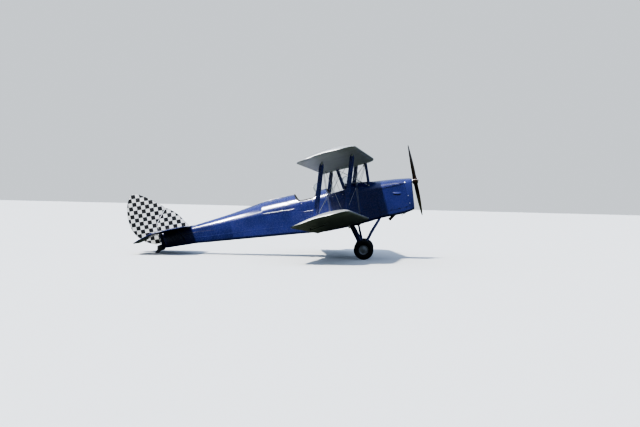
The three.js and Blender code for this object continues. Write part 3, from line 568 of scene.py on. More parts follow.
def silver(name, tone):
    """Aluminium dope on linen: a satin skin with its weave, its drips and the rib stitches."""
    made = finish(name, tone, 0.42, metallic=0.45, coat_weight=0.12, coat_roughness=0.3)
    point = datum_point(made)
    axes = node(made, "SeparateXYZ", {0: point}).outputs
    cloudy = noise(made, point, 3.1, 6, 0.6)
    dust = noise(made, point, 26, 5, 0.7)
    soot = blend_colours(made, ramp(made, cloudy, 0.36, 0.7, 0.0, 0.55), tone,
                         tuple(c * 0.74 for c in tone))
    into(made, "Base Color", blend_colours(
        made, ramp(made, dust, 0.55, 0.8, 0.0, 0.25), soot, (0.30, 0.28, 0.25)))
    into(made, "Roughness", ramp(made, dust, 0.3, 0.75, 0.36, 0.56))
    stitch = math_of(made, "PINGPONG", math_of(made, "MULTIPLY", axes["X"], 26.0), 1.0)
    across = math_of(made, "PINGPONG", math_of(
        made, "DIVIDE", math_of(made, "SUBTRACT", axes["Y"], UPPER["root"]), RIB_GAP), 0.5)
    on_rib = ramp(made, across, 0.012, 0.0)
    knots = math_of(made, "MULTIPLY", on_rib, ramp(made, stitch, 0.7, 1.0))
    relief = bump(made, knots, 0.0012)
    relief = bump(made, noise(made, point, 420, 2), 0.00018, relief)
    into(made, "Normal", relief)
    return made


silver_dope = silver("silver_dope", (0.60, 0.61, 0.60))
for side, sign in SIDES.items():
    bm = bmesh.new()
    skin(bm, [section(lambda b, way: wing_point(UPPER, y, b, way))
              for y in spans(UPPER["root"] + 0.0005, TIP_Y)])
    add_tapes(bm, UPPER, rib_places(UPPER, UPPER["root"], TIP_Y))
    to_side(bm, sign)
    closed_piece(bm, "upper_wing_fabric_" + side, AIRFRAME, silver_dope, "silver_dope",
                 ["upper_wing_" + side], smooth=50)

# The lower wings carry the ailerons, each round-nosed in its cove on three brackets, its ends
# square to the hinge line.
AILERON_INNER, AILERON_OUTER = 2.050, 4.080
AILERON_GAP = 0.007
HINGE_SHARE = 0.785
NOSE_RADIUS = 0.037
COVE_RADIUS = 0.044
HINGE_SKEW = math.tan(math.radians(6.23))  # of the hinge line to the span, with its rise


def hinge_point(y):
    """The middle of the section at the hinge line."""
    return (wing_point(LOWER, y, HINGE_SHARE, 1) + wing_point(LOWER, y, HINGE_SHARE, -1)) / 2


def round_hinge(y, radius, angles):
    """Points about the hinge line, an angle of zero looking forward and a quarter turn up."""
    middle = hinge_point(y)
    return [middle + Vector((radius * math.cos(t), 0, radius * math.sin(t))) for t in angles]


def squared(y, back):
    """The place on the span where a line square to the hinge meets a share of the chord."""
    return y - HINGE_SKEW * max(back - HINGE_SHARE, 0) * CHORD


def lower_ring(y, square=False):
    """A whole section, its rear end square to the hinge where the aileron's bay begins."""
    return section(lambda b, way: wing_point(LOWER, squared(y, b) if square else y, b, way))


def bay_ring(y):
    """The section ahead of the aileron, hollowed round its nose."""
    edge = HINGE_SHARE - 0.030 / CHORD
    shares = [edge * s for s in chord_steps(SECTION_POINTS)]
    top = [wing_point(LOWER, y, b, 1) for b in shares]
    below = [wing_point(LOWER, y, b, -1) for b in shares[-2::-1]]
    return top + below + round_hinge(y, COVE_RADIUS, [math.radians(a) for a in (-40, -14, 14, 40)])


def aileron_ring(y):
    """The aileron's own section, round-nosed."""
    count = 12
    shares = [1 - (1 - HINGE_SHARE) * i / count for i in range(count + 1)]
    top = [wing_point(LOWER, squared(y, b), b, 1) for b in shares]
    nose = round_hinge(y, NOSE_RADIUS, [math.radians(a) for a in range(80, -81, -20)])
    below = [wing_point(LOWER, squared(y, b), b, -1) for b in shares[-1:0:-1]]
    return top + nose + below


for side, sign in SIDES.items():
    bm = bmesh.new()
    inner = spans(LOWER["root"] - 0.06, AILERON_INNER - 0.055)
    skin(bm, [lower_ring(y) for y in inner] + [lower_ring(AILERON_INNER, True)])
    skin(bm, [bay_ring(y) for y in spans(AILERON_INNER, AILERON_OUTER)])
    outer = spans(AILERON_OUTER + 0.055, TIP_Y)
    skin(bm, [lower_ring(AILERON_OUTER, True)] + [lower_ring(y) for y in outer])
    ribs = rib_places(LOWER, LOWER["root"], TIP_Y)
    whole = [y for y in ribs if y < AILERON_INNER - 0.06 or y > AILERON_OUTER + 0.06]
    cut = [y for y in ribs if AILERON_INNER < y < AILERON_OUTER]
    add_tapes(bm, LOWER, whole)
    add_tapes(bm, LOWER, cut, 0.0, HINGE_SHARE - 0.035)
    to_side(bm, sign)
    closed_piece(bm, "lower_wing_fabric_" + side, AIRFRAME, silver_dope, "silver_dope",
                 ["lower_wing_" + side], smooth=50)

    bm = bmesh.new()
    low, high = AILERON_INNER + AILERON_GAP, AILERON_OUTER - AILERON_GAP
    skin(bm, [aileron_ring(y) for y in spans(low, high)])
    add_tapes(bm, LOWER, cut, HINGE_SHARE + 0.01, 0.99)
    to_side(bm, sign)
    closed_piece(bm, "aileron_fabric_" + side, "aileron_" + side, silver_dope, "silver_dope",
                 ["aileron_" + side], smooth=50)

# Between the upper wings is the fuel tank, of tinned steel swaged for stiffness and painted as
# the body is. Its brass filler stands to starboard and its level gauge to port.
CENTRE_HALF = 0.3096
SWAGES = (-0.20, -0.067, 0.067, 0.20)


def centre_point(y, back, sign, lift=0.0):
    """A point on the centre section, which has neither sweep nor rise."""
    place = wing_point(UPPER, UPPER["root"], back, sign, lift)
    return Vector((place.x, y, place.z))


def swage(y, back):
    """The height of the pressed ribs that run fore and aft over the tank."""
    near = min(abs(y - line) for line in SWAGES)
    ends = min(max((back - 0.10) / 0.03, 0), 1) * min(max((0.56 - back) / 0.03, 0), 1)
    return 0.0035 * math.exp(-((near / 0.011) ** 2)) * ends


def lathe(bm, profile, centre, axis=(1, 0, 0), steps=24):
    """Turns a profile of distances out from an axis and along it into a closed solid."""
    matrix = Matrix.Translation(centre) @ turned_to(axis)
    closes = math.dist(profile[0], profile[-1]) < 1e-6
    rings = [
        [bm.verts.new(matrix @ Vector((out * math.cos(t), out * math.sin(t), along)))
         for t in (turns(steps) if out else (0,))]
        for out, along in (profile[:-1] if closes else profile)
    ]
    if closes:
        rings.append(rings[0])
    for near, far in zip(rings, rings[1:]):
        for i in range(steps):
            j = (i + 1) % steps
            corners = [near[i % len(near)], near[j % len(near)],
                       far[j % len(far)], far[i % len(far)]]
            corners = list(dict.fromkeys(corners))
            if len(corners) > 2:
                bm.faces.new(corners)


def plain_metal(name, tone, roughness, metallic=1.0, streak=0.35, grime=GRIME):
    """A bare or plated metal, its gloss uneven and dirt settled in its scratches."""
    made = finish(name, tone, roughness, metallic=metallic)
    point = datum_point(made)
    smear = noise(made, point, 14, 6, 0.7)
    fine = noise(made, point, 310, 3, 0.6)
    into(made, "Base Color", blend_colours(
        made, ramp(made, smear, 0.50, 0.78, 0.0, streak), tone, grime))
    into(made, "Roughness", ramp(made, smear, 0.3, 0.75, roughness * 0.75, roughness * 1.5))
    into(made, "Normal", bump(made, fine, 0.00012))
    return made


steel = plain_metal("steel", (0.50, 0.51, 0.52), 0.30)
brass = plain_metal("brass", (0.66, 0.49, 0.20), 0.28)
copper = plain_metal("copper", (0.58, 0.29, 0.17), 0.33)
dark_steel = plain_metal("dark_steel", (0.10, 0.10, 0.11), 0.45)

bm = bmesh.new()
rings = []
for i in range(61):
    y = CENTRE_HALF * (i / 30 - 1)
    rings.append(section(
        lambda b, way: centre_point(y, b, way, swage(y, b) if way > 0 else 0)))
skin(bm, rings)
closed_piece(bm, "centre_section_skin", AIRFRAME, blue_enamel, "blue_enamel", ["centre_section"],
             smooth=50)

bm = bmesh.new()
FILLER = centre_point(-0.135, 0.34, 1)
CAP_PROFILE = ((0, 0.034), (0.030, 0.034), (0.042, 0.030), (0.046, 0.022), (0.046, 0.010),
               (0.038, 0.008), (0.038, -0.004), (0.056, -0.004), (0.056, -0.010), (0, -0.010))
lathe(bm, CAP_PROFILE, FILLER, UP, 32)
slab(bm, FILLER + Vector((0, 0, 0.036)), (0.062, 0.010, 0.012), bevel=0.003)
closed_piece(bm, "fuel_filler_cap", AIRFRAME, brass, "steel")

bm = bmesh.new()
GAUGE = centre_point(0.10, 0.40, 1)
lathe(bm, ((0, 0.104), (0.010, 0.104), (0.014, 0.098), (0.014, 0.088), (0.0105, 0.086),
           (0.0105, 0.022), (0.016, 0.018), (0.024, 0.004), (0.024, -0.008), (0, -0.008)),
      GAUGE, UP, 20)
closed_piece(bm, "fuel_gauge", AIRFRAME, brass, "steel")

# A copper pipe brings the fuel down the port front strut into the cowling.
bm = bmesh.new()
rod(bm, [(-1.150, 0.225, 0.675), (-1.138, 0.245, 0.640), (-1.118, 0.262, 0.560),
         (-1.155, 0.240, 0.200), (-1.155, 0.225, 0.130), (-1.150, 0.205, 0.095)], 0.0045, 8)
closed_piece(bm, "fuel_pipe", AIRFRAME, copper, "steel")

# Streamlined spruce struts stand between the wings and carry the centre section over the
# body. Each end tapers into a steel fork, and a bolt pins it to the spar.
def wing_place(wing, behind, y, above=0.0):
    """A point fixed to a wing's spars: behind the front one, out along it and above it."""
    cos, sin = math.cos(INCIDENCE), math.sin(INCIDENCE)
    x, z = -behind * cos - above * sin, -behind * sin + above * cos
    return Vector((x + wing["x"] + (wing["root"] - y) * SWEEP, y,
                   z + wing["z"] + (y - wing["root"]) * wing["rise"]))


def stood(low, high):
    """The ways along a strut, fore along its section and across that."""
    along = (high - low).normalized()
    ahead = (Vector((1, 0, 0)) - along * along.x).normalized()
    return along, ahead, along.cross(ahead)


def strut(bm, low, high, chord, thick, taper=0.085, bare=0.0):
    """A spruce strut of streamlined section, thickest ahead of its middle."""
    low, high = Vector(low), Vector(high)
    along, ahead, across = stood(low, high)
    length = (high - low).length
    stops = [bare, bare + 0.012, bare + taper * 0.5, bare + taper, length * 0.35, length * 0.65,
             length - bare - taper, length - bare - taper * 0.5, length - bare - 0.012,
             length - bare]
    rings = []
    for stop in stops:
        end = min(stop, length - stop) - bare
        size = 0.66 + 0.34 * math.sin(math.pi / 2 * min(max(end / taper, 0), 1))
        size *= 0.9 + 0.1 * min(max(end / 0.012, 0), 1)
        ring = []
        for t in turns(24):
            fore = math.cos(t) * chord / 2
            lean = 1 + 0.28 * math.cos(t) if math.cos(t) < 0 else 1
            ring.append(low + along * stop + ahead * fore * size
                        + across * math.sin(t) * lean * thick / 2 * size)
        rings.append(ring)
    skin(bm, rings)
    return ahead, across


def fork(bm, place, along, ahead, across, reach, width):
    """Two steel cheeks and the bolt through them at the end of a strut."""
    turn = Matrix((ahead, across, along)).transposed().to_4x4()
    for cheek in (-1, 1):
        slab(bm, place + along * reach / 2 + across * cheek * width / 2,
             (0.040, 0.0035, reach), turn, bevel=0.001)
    bolt = place + along * reach * 0.55
    lathe(bm, ((0, -width / 2 - 0.014), (0.009, -width / 2 - 0.014), (0.009, -width / 2 - 0.006),
               (0.0055, -width / 2 - 0.006), (0.0055, width / 2 + 0.016), (0, width / 2 + 0.016)),
          bolt, across, 8)


INTERPLANE = (("front", 0.0), ("rear", SPAR_SPACING))
CABANE = (
    ("front", (-1.130, 0.262, 0.070), (-1.085, 0.288, 0.740)),
    ("rear", (-1.730, 0.286, 0.060), (-1.820, 0.288, 0.740)),
)
for side, sign in SIDES.items():
    fittings = bmesh.new()
    for end, behind in INTERPLANE:
        low, high = (wing_place(wing, behind, STRUT_Y, 0.0) for wing in (LOWER, UPPER))
        foot = Vector((low.x, low.y, low.z + 0.058))
        head = Vector((high.x, high.y, high.z - 0.052))
        low, high, foot, head = mirrored((low, high, foot, head), sign)
        bm = bmesh.new()
        ahead, across = strut(bm, foot, head, 0.104, 0.038)
        closed_piece(bm, f"{end}_interplane_strut_{side}_wood", AIRFRAME, blue_enamel,
                     "blue_enamel", [f"{end}_interplane_strut_{side}"], smooth=50)
        along = (head - foot).normalized()
        fork(fittings, foot + along * 0.035, -along, ahead, -across, 0.080, 0.030)
        fork(fittings, head - along * 0.035, along, ahead, across, 0.080, 0.030)
    for end, foot, head in CABANE:
        foot, head = mirrored((foot, head), sign)
        along = (head - foot).normalized()
        deck, _ = on_deck(foot.x, foot.y)
        start = foot + along * ((deck.z - foot.z) / along.z + 0.004)
        stop = head - along * 0.035
        bm = bmesh.new()
        ahead, across = strut(bm, start, stop, 0.066, 0.030, 0.06)
        closed_piece(bm, f"{end}_cabane_strut_{side}_tube", AIRFRAME, blue_enamel, "blue_enamel",
                     [f"{end}_cabane_strut_{side}"], smooth=50)
        fork(fittings, start + along * 0.012, -along, ahead, -across, 0.030, 0.032)
        fork(fittings, stop - along * 0.015, along, ahead, across, 0.050, 0.026)
    closed_piece(fittings, "strut_fittings_" + side, AIRFRAME, steel, "steel")

# Streamlined steel rods brace the wings: pairs of flying wires from the body out to the strut
# heads, single landing wires down to the strut feet, and crossed incidence wires between the
# struts. Each ends in a fork screwed on with a lock nut.
def brace(bm, start, stop, wide=0.0052, fore=(1, 0, 0)):
    """One streamlined rod with its round threaded ends and forks."""
    start, stop = Vector(start), Vector(stop)
    along = (stop - start).normalized()
    rod(bm, [start + along * 0.06, start + along * 0.11, start + along * 0.16,
             stop - along * 0.16, stop - along * 0.11, stop - along * 0.06],
        [wide * 0.55, wide * 0.55, wide, wide, wide * 0.55, wide * 0.55], 8, 0.42, fore)
    for place, way in ((start, along), (stop, -along)):
        lathe(bm, ((0, 0.0), (0.006, 0.0), (0.0075, 0.010), (0.0075, 0.040), (0.0055, 0.044),
                   (0.0055, 0.052), (0.0085, 0.054), (0.0085, 0.064), (0, 0.064)),
              place, way, 8)


def wire_ends(behind):
    """Where one spar's flying wire starts and stops, then its landing wire."""
    return (wing_place(LOWER, behind, 0.400, 0.03), wing_place(UPPER, behind, 3.060, 0.01),
            wing_place(UPPER, behind, 0.345, -0.045), wing_place(LOWER, behind, 3.095, 0.062))


for side, sign in SIDES.items():
    for end, behind in INTERPLANE:
        bm = bmesh.new()
        start, stop, _, _ = wire_ends(behind)
        run = (stop - start).normalized()
        start += run * 0.045
        stop -= run * 0.055
        for shift in (-0.011, 0.011):
            ends = mirrored([p + Vector((shift, 0, 0)) for p in (start, stop)], sign)
            brace(bm, *ends)
        closed_piece(bm, f"{end}_flying_wires_{side}", AIRFRAME, steel, "steel",
                     [f"{end}_flying_wire_{side}"])
    bm = bmesh.new()
    for end, behind in INTERPLANE:
        _, _, head, foot = wire_ends(behind)
        brace(bm, *mirrored((head, foot), sign))
    feet = [wing_place(LOWER, behind + 0.05, STRUT_Y - 0.03, 0.07) for _, behind in INTERPLANE]
    heads = [wing_place(UPPER, behind, STRUT_Y - 0.03, -0.07) for _, behind in INTERPLANE]
    brace(bm, *mirrored((feet[0], heads[1]), sign), wide=0.0045)
    brace(bm, *mirrored((feet[1], heads[0]), sign), wide=0.0045)
    closed_piece(bm, "landing_wires_" + side, AIRFRAME, steel, "steel")

# Where the wires of each bay cross, a turned wooden spacer keeps them from chafing.
bm = bmesh.new()
for side, sign in SIDES.items():
    cross = []
    for _, behind in INTERPLANE:
        start, stop, head, foot = wire_ends(behind)
        (y0, z0), (y1, z1), (y2, z2), (y3, z3) = ((p.y, p.z) for p in (start, stop, head, foot))
        share = ((y2 - y0) * (z3 - z2) - (z2 - z0) * (y3 - y2)) / (
            (y1 - y0) * (z3 - z2) - (z1 - z0) * (y3 - y2))
        cross.append(start.lerp(stop, share))
    rear_end, front_end = mirrored((cross[1], cross[0]), sign)
    along = (front_end - rear_end).normalized()
    rod(bm, [rear_end - along * 0.07, rear_end - along * 0.04, rear_end,
             rear_end.lerp(front_end, 0.3), rear_end.lerp(front_end, 0.7), front_end,
             front_end + along * 0.04, front_end + along * 0.07], [0.003, 0.010, 0.0135, 0.0155,
                                                                   0.0155, 0.0135, 0.010, 0.003],
        14)
closed_piece(bm, "wire_spacers", AIRFRAME, blue_enamel, "blue_enamel", smooth=60)

# Round wires brace the centre section: crossed in front, and slanting along each side.
bm = bmesh.new()
for sign in SIDES.values():
    brace(bm, (-1.128, -sign * 0.245, 0.150), (-1.090, sign * 0.270, 0.665), 0.0038)
    brace(bm, *mirrored(((-1.165, 0.285, 0.155), (-1.790, 0.300, 0.660)), sign), wide=0.0038)
    brace(bm, *mirrored(((-1.715, 0.305, 0.125), (-1.120, 0.300, 0.665)), sign), wide=0.0038)
closed_piece(bm, "centre_wires", AIRFRAME, steel, "steel")


# The propeller: laminated hardwood under near-black varnish, a brass edge let into the outer
# part of each blade. Eight bolts clamp its boss between the hub's two plates.
def smoothed(table, steps):
    """Rows between the rows of a table, on a smooth curve through them."""
    rows = []
    for i in range(len(table) - 1):
        a, b, c, d = (table[min(max(i + j, 0), len(table) - 1)] for j in (-1, 0, 1, 2))
        for step in range(steps):
            t = step / steps
            rows.append(tuple(
                0.5 * (2 * q + (r - p) * t + (2 * p - 5 * q + 4 * r - s) * t * t
                       + (3 * q - p - 3 * r + s) * t**3)
                for p, q, r, s in zip(a, b, c, d)
            ))
    return rows + [tuple(table[-1])]


BLADE = (  # radius, chord, thickness, twist
    (0.0, 0.130, 0.110, 40), (0.120, 0.118, 0.076, 40), (0.300, 0.150, 0.042, 34),
    (0.560, 0.168, 0.028, 24), (0.800, 0.140, 0.018, 17), (0.920, 0.100, 0.012, 14),
    (0.955, 0.064, 0.009, 13), (0.965, 0.030, 0.005, 13),
)
PROPELLER_TURN = math.radians(24)
stopped = (
    Matrix.Translation((PROPELLER_X, 0, 0)) @ Matrix.Rotation(PROPELLER_TURN, 4, "X")
)


def blade_point(row, t, grow=0.0):
    """A point round a blade's section: cambered in front, nearly flat behind."""
    radius, chord, thick, twist = row
    along = math.cos(t) * chord / 2
    flat = min(max((radius - 0.15) / 0.2, 0), 1)
    front, behind = math.sin(t) > 0, math.sin(t) < 0
    out = math.sin(t) * thick / 2 * (1 + 0.35 * flat * front - 0.5 * flat * behind)
    out *= 1 - 0.35 * flat * max(-math.cos(t), 0)
    pitch = math.radians(twist)
    out += grow * math.sin(t)
    along += grow * math.cos(t)
    return Vector((out * math.cos(pitch) + along * math.sin(pitch),
                   along * math.cos(pitch) - out * math.sin(pitch), radius))


varnish = finish("propeller_wood", (0.030, 0.016, 0.010), 0.30, coat_weight=0.8,
                 coat_roughness=0.12)
point = node(varnish, "Mapping", {"Vector": datum_point(varnish),
                                  "Rotation": (-PROPELLER_TURN, 0, 0)},
             vector_type="POINT").outputs[0]
axes = node(varnish, "SeparateXYZ", {0: point}).outputs
grain_point = node(varnish, "Mapping", {"Vector": point, "Scale": (60, 60, 2.2)}).outputs[0]
grain = noise(varnish, grain_point, 1.6, 6, 0.6)
laminate = node(varnish, "TexWave", {"Vector": point, "Scale": 24, "Distortion": 0.3},
                bands_direction="X").outputs["Fac"]
into(varnish, "Base Color", blend_colours(
    varnish, math_of(varnish, "MULTIPLY_ADD", laminate, 0.35, grain),
    (0.016, 0.009, 0.006), (0.060, 0.028, 0.014)))
into(varnish, "Roughness", ramp(varnish, grain, 0.3, 0.8, 0.24, 0.42))
into(varnish, "Normal", bump(varnish, grain, 0.0003))

bm = bmesh.new()
for half_turn in (0, math.pi):
    other = Matrix.Rotation(half_turn, 4, "X")
    rings = [[other @ blade_point(row, t) for t in turns(28)] for row in smoothed(BLADE, 7)]
    skin(bm, rings)
bmesh.ops.transform(bm, matrix=stopped, verts=bm.verts)
lathe(bm, ((0.0384, -0.055), (0.076, -0.055), (0.084, -0.047), (0.084, 0.047), (0.076, 0.055),
           (0.0384, 0.055), (0.0384, -0.055)), (PROPELLER_X, 0, 0), (1, 0, 0), 40)
closed_piece(bm, "propeller_wood", "propeller", varnish, "propeller_wood", ["propeller"], smooth=45)

bm = bmesh.new()
for half_turn in (0, math.pi):
    other = Matrix.Rotation(half_turn, 4, "X")
    rings = []
    for row in smoothed(BLADE, 7):
        if 0.46 < row[0] < 0.957:
            wrap = 0.62 if row[0] < 0.90 else 0.9
            outer = [other @ blade_point(row, t, 0.0012) for t in
                     [wrap * (i / 5 - 1) for i in range(11)]]
            inner = [other @ blade_point(row, t, -0.0008) for t in
                     [wrap * (1 - i / 5) for i in range(11)]]
            rings.append(outer + inner)
    skin(bm, rings)
    for row in smoothed(BLADE, 7)[17:38:2]:
        if row[0] < 0.94:
            lathe(bm, ((0, 0.0015), (0.002, 0.0012), (0.003, 0)),
                  other @ blade_point(row, 0.5, 0.001), other @ Vector((1, 0, 0)), 6)
bmesh.ops.transform(bm, matrix=stopped, verts=bm.verts)
closed_piece(bm, "propeller_brass_edges", "propeller", brass, "propeller_wood")

hub_paint = plain_metal("hub_enamel", (0.62, 0.63, 0.63), 0.34, 0.8, 0.25)
bm = bmesh.new()
lathe(bm, ((0.0, -0.252), (0.0376, -0.252), (0.0376, 0.0614), (0, 0.0614)), (PROPELLER_X, 0, 0))
lathe(bm, ((0.0, -0.0674), (0.072, -0.0674), (0.072, -0.0554), (0, -0.0554)), (PROPELLER_X, 0, 0),
      steps=40)
lathe(bm, ((0.0, 0.0554), (0.066, 0.0554), (0.066, 0.0624), (0.064, 0.0644), (0.046, 0.0644),
           (0.043, 0.067), (0.034, 0.067), (0.032, 0.0644), (0, 0.0644)), (PROPELLER_X, 0, 0),
      steps=40)
lathe(bm, ((0.0, 0.062), (0.0275, 0.062), (0.0275, 0.083), (0.024, 0.0865), (0.012, 0.0865),
           (0.010, 0.083), (0, 0.083)), (PROPELLER_X, 0, 0), steps=6)
for t in turns(8, PROPELLER_TURN):
    place = Vector((PROPELLER_X + 0.0644, 0.054 * math.cos(t), 0.054 * math.sin(t)))
    lathe(bm, ((0, 0.013), (0.0042, 0.013), (0.005, 0.009), (0.0088, 0.0085), (0.0092, 0.0005),
               (0.0105, 0.0), (0, -0.002)), place, (1, 0, 0), 6)
closed_piece(bm, "propeller_hub_metal", "propeller", hub_paint, "hub_enamel", ["propeller_hub"],
             rim=0.0008)


# The tail's frames are steel tube, thin at their edges and thick along the hinges, under doped
# linen that sinks between the ribs. Fin and rudder are chequered in black and white by hand,
# with a dark band round the edge; tailplane and elevators are blue.
EDGE_TUBE = 0.009
TAIL_SAG = 0.0028
SWELL_RUN = 0.20


def drawn(start, *legs):
    """An outline of straight legs, each a point, and curved ones, each its pulls and its end."""
    points = [start]
    for leg in legs:
        if isinstance(leg[0], (int, float)):
            points.append(leg)
            continue
        controls = [points[-1], *leg]
        for i in range(1, 17):
            row = controls
            while len(row) > 1:
                row = [tuple(p + (q - p) * i / 16 for p, q in zip(a, b)) for a,
                       b in zip(row, row[1:])]
            points.append(row[0])
    return points


def reach(outline, span):
    """Where a line across an outline enters it and leaves it."""
    found = []
    for (u0, v0), (u1, v1) in zip(outline, outline[1:] + outline[:1]):
        if (v0 - span) * (v1 - span) <= 0 and v0 != v1:
            found.append(u0 + (u1 - u0) * (span - v0) / (v1 - v0))
    return max(found), min(found)


def away_from(path, point):
    """How far a point is from a path."""
    spot = Vector(point)
    near = []
    for a, b in zip(path, path[1:]):
        start, run = Vector(a), Vector(b) - Vector(a)
        share = min(max((spot - start).dot(run) / run.length_squared, 0), 1)
        near.append((start + run * share - spot).length)
    return min(near)


def eased(value):
    """A soft step between 0 and 1."""
    value = min(max(value, 0), 1)
    return value * value * (3 - 2 * value)


def rounded(depth, radius):
    """The half thickness of a round edge at a depth in from it."""
    return math.sqrt(max(radius**2 - (radius - min(depth, radius)) ** 2, 0))


def fabric_plate(bm, free, blunt, thick, ribs, place):
    """A framed, fabric-covered surface between its free edge and its blunt hinge edge."""
    outline = free + blunt[1:-1] if len(blunt) > 2 else free
    low, high = min(v for _, v in outline), max(v for _, v in outline)
    marks = [low + off for off in (0.0, 0.002, 0.006, 0.012, 0.02, 0.03, 0.045)]
    marks += [high - off for off in (0.0, 0.002, 0.006, 0.012, 0.02, 0.03, 0.045)]
    gap = ribs[1] - ribs[0]
    step = gap / 6
    at = ribs[0] - 4 * gap
    while at < high - 0.05:
        if at > low + 0.05:
            marks.append(at)
        at += step
    band = bm.verts.layers.float.new("edge") if "edge" not in bm.verts.layers.float \
        else bm.verts.layers.float["edge"]

    def half_thick(u, v):
        """The half thickness at a place, and how far in from the edge it is."""
        open_in, shut_in = away_from(free, (u, v)), away_from(blunt, (u, v))
        half = rounded(open_in, EDGE_TUBE) + (thick / 2 - EDGE_TUBE) * eased(open_in / SWELL_RUN)
        half = min(half, rounded(shut_in, thick / 2))
        inward = min(open_in, shut_in)
        slack = math.sin(math.pi * (v - ribs[0]) / gap) ** 2 * eased((inward - 0.01) / 0.07)
        return half - TAIL_SAG * slack, inward

    rings = []
    for v in sorted(set(marks)):
        front, rear = reach(outline, v)
        ring = []
        for i in range(2 * 18):
            share = (1 + math.cos(math.pi * i / 18)) / 2
            u = front + (rear - front) * share
            half, inward = half_thick(u, v)
            sign = 1 if i < 18 else -1
            ring.append((place(u, sign * (half if 0 < i % 18 else 0), v), inward))
        rings.append(ring)
    made = []
    for ring in rings:
        row = []
        for point, inward in ring:
            vert = bm.verts.new(point)
            vert[band] = inward
            row.append(vert)
        made.append(row)
    for near, far in zip(made, made[1:]):
        for i in range(len(near)):
            j = (i + 1) % len(near)
            bm.faces.new((near[i], near[j], far[j], far[i]))
    bmesh.ops.remove_doubles(bm, verts=[v for row in made for v in row], dist=2e-5)
    for v in ribs:
        if not low + 0.05 < v < high - 0.05:
            continue
        front, rear = reach(outline, v)
        shares = [0.015 + 0.97 * (1 - math.cos(math.pi * i / 16)) / 2 for i in range(17)]
        for sign in (1, -1):
            strips = []
            for w in (-0.017, 0.017):
                row = []
                for share in shares:
                    u = front + (rear - front) * share
                    half, inward = half_thick(u, v + w)
                    vert = bm.verts.new(place(u, sign * (half + 0.0009), v + w))
                    vert[band] = inward
                    row.append(vert)
                strips.append(row)
            for i in range(16):
                bm.faces.new((strips[0][i], strips[0][i + 1], strips[1][i + 1], strips[1][i]))
    bmesh.ops.recalc_face_normals(bm, faces=bm.faces)


CELL = (0.1035, 0.1005)
CELL_TILT = math.radians(2.7)
EDGE_BAND = 0.005
BLACK_CELL = Vector((-6.893, 0, 0.822))  # the middle of one of them, on the rudder
corner = BLACK_CELL - Matrix.Rotation(CELL_TILT, 3, "Y") @ Vector((CELL[0] / 2, 0, CELL[1] / 2))
chequer = finish("chequer_dope", (0.8, 0.8, 0.8), 0.34, coat_weight=0.35, coat_roughness=0.15)
point = datum_point(chequer)
wobble = node(chequer, "VectorMath", {0: node(chequer, "TexNoise", {"Vector": point, "Scale": 9.0,
              "Detail": 2.0}).outputs["Color"], 1: (0.004, 0, 0.004)}, operation="MULTIPLY")
moved = node(chequer, "VectorMath", {0: point, 1: wobble.outputs[0]}, operation="ADD").outputs[0]
laid = node(chequer, "Mapping", {
    "Vector": moved, "Location": corner + Vector((0.002, 0, 0.002)), "Rotation": (0, CELL_TILT, 0),
    "Scale": (CELL[0], 1000, CELL[1])
}, vector_type="TEXTURE").outputs[0]
steps = node(chequer, "SeparateXYZ", {0: laid}).outputs
waves = [math_of(chequer, "SINE",
                 math_of(chequer, "MULTIPLY", steps[axis], math.pi)) for axis in "XZ"]
WHITE_SPREAD = 0.0  # above 0 the white would run over the masked lines
cells = math_of(chequer, "LESS_THAN", math_of(chequer, "MULTIPLY", *waves), WHITE_SPREAD)
depth = node(chequer, "Attribute", {}, attribute_name="edge").outputs["Fac"]
inner = math_of(chequer, "GREATER_THAN", depth, EDGE_BAND)
cloudy = noise(chequer, point, 7, 5, 0.65)
fine = noise(chequer, point, 55, 4, 0.7)
white = blend_colours(chequer, ramp(chequer, cloudy, 0.42, 0.72, 0.0, 0.6), (0.80, 0.81, 0.82),
                      (0.62, 0.63, 0.62))
black = blend_colours(chequer, ramp(chequer, fine, 0.45, 0.75, 0.0, 1.0), (0.010, 0.011, 0.014),
                      (0.030, 0.031, 0.034))
squares = blend_colours(chequer, cells, black, white)
into(chequer, "Base Color", blend_colours(chequer, inner, (0.010, 0.014, 0.030), squares))
into(chequer, "Roughness", ramp(chequer, fine, 0.3, 0.8, 0.26, 0.46))
into(chequer, "Normal", bump(chequer, weave_of(chequer, point), WEAVE_DEPTH))

RUDDER_NOSE, STERNPOST = -6.540, -6.530
rudder_free = drawn(
    (RUDDER_NOSE, 0.353), (-6.245, 0.688), ((-6.430, 0.885), (-6.760, 1.150), (-6.930, 1.186)),
    ((-7.062, 1.206), (-7.112, 1.080)), ((-7.262, 0.850), (-7.258, 0.420), (-7.150, 0.225)),
    ((-7.085, 0.080), (-6.880, -0.115), (-6.650, -0.166)), (RUDDER_NOSE, -0.146),
)
rudder_blunt = [(RUDDER_NOSE, -0.146), (RUDDER_NOSE, 0.353)]
fin_free = drawn(
    (STERNPOST, 0.345), (-6.236, 0.680), ((-5.985, 0.540), (-5.850, 0.268)),
    ((-5.805, 0.190), (-5.748, 0.128)),
)
fin_blunt = [(-5.748, 0.1262), (STERNPOST, 0.1262), (STERNPOST, 0.345)]
UPRIGHT_RIBS = [0.0 + 0.2275 * i for i in range(6)]


def upright_place(u, out, v):
    """From an outline in side view to the datum."""
    return u, out, v


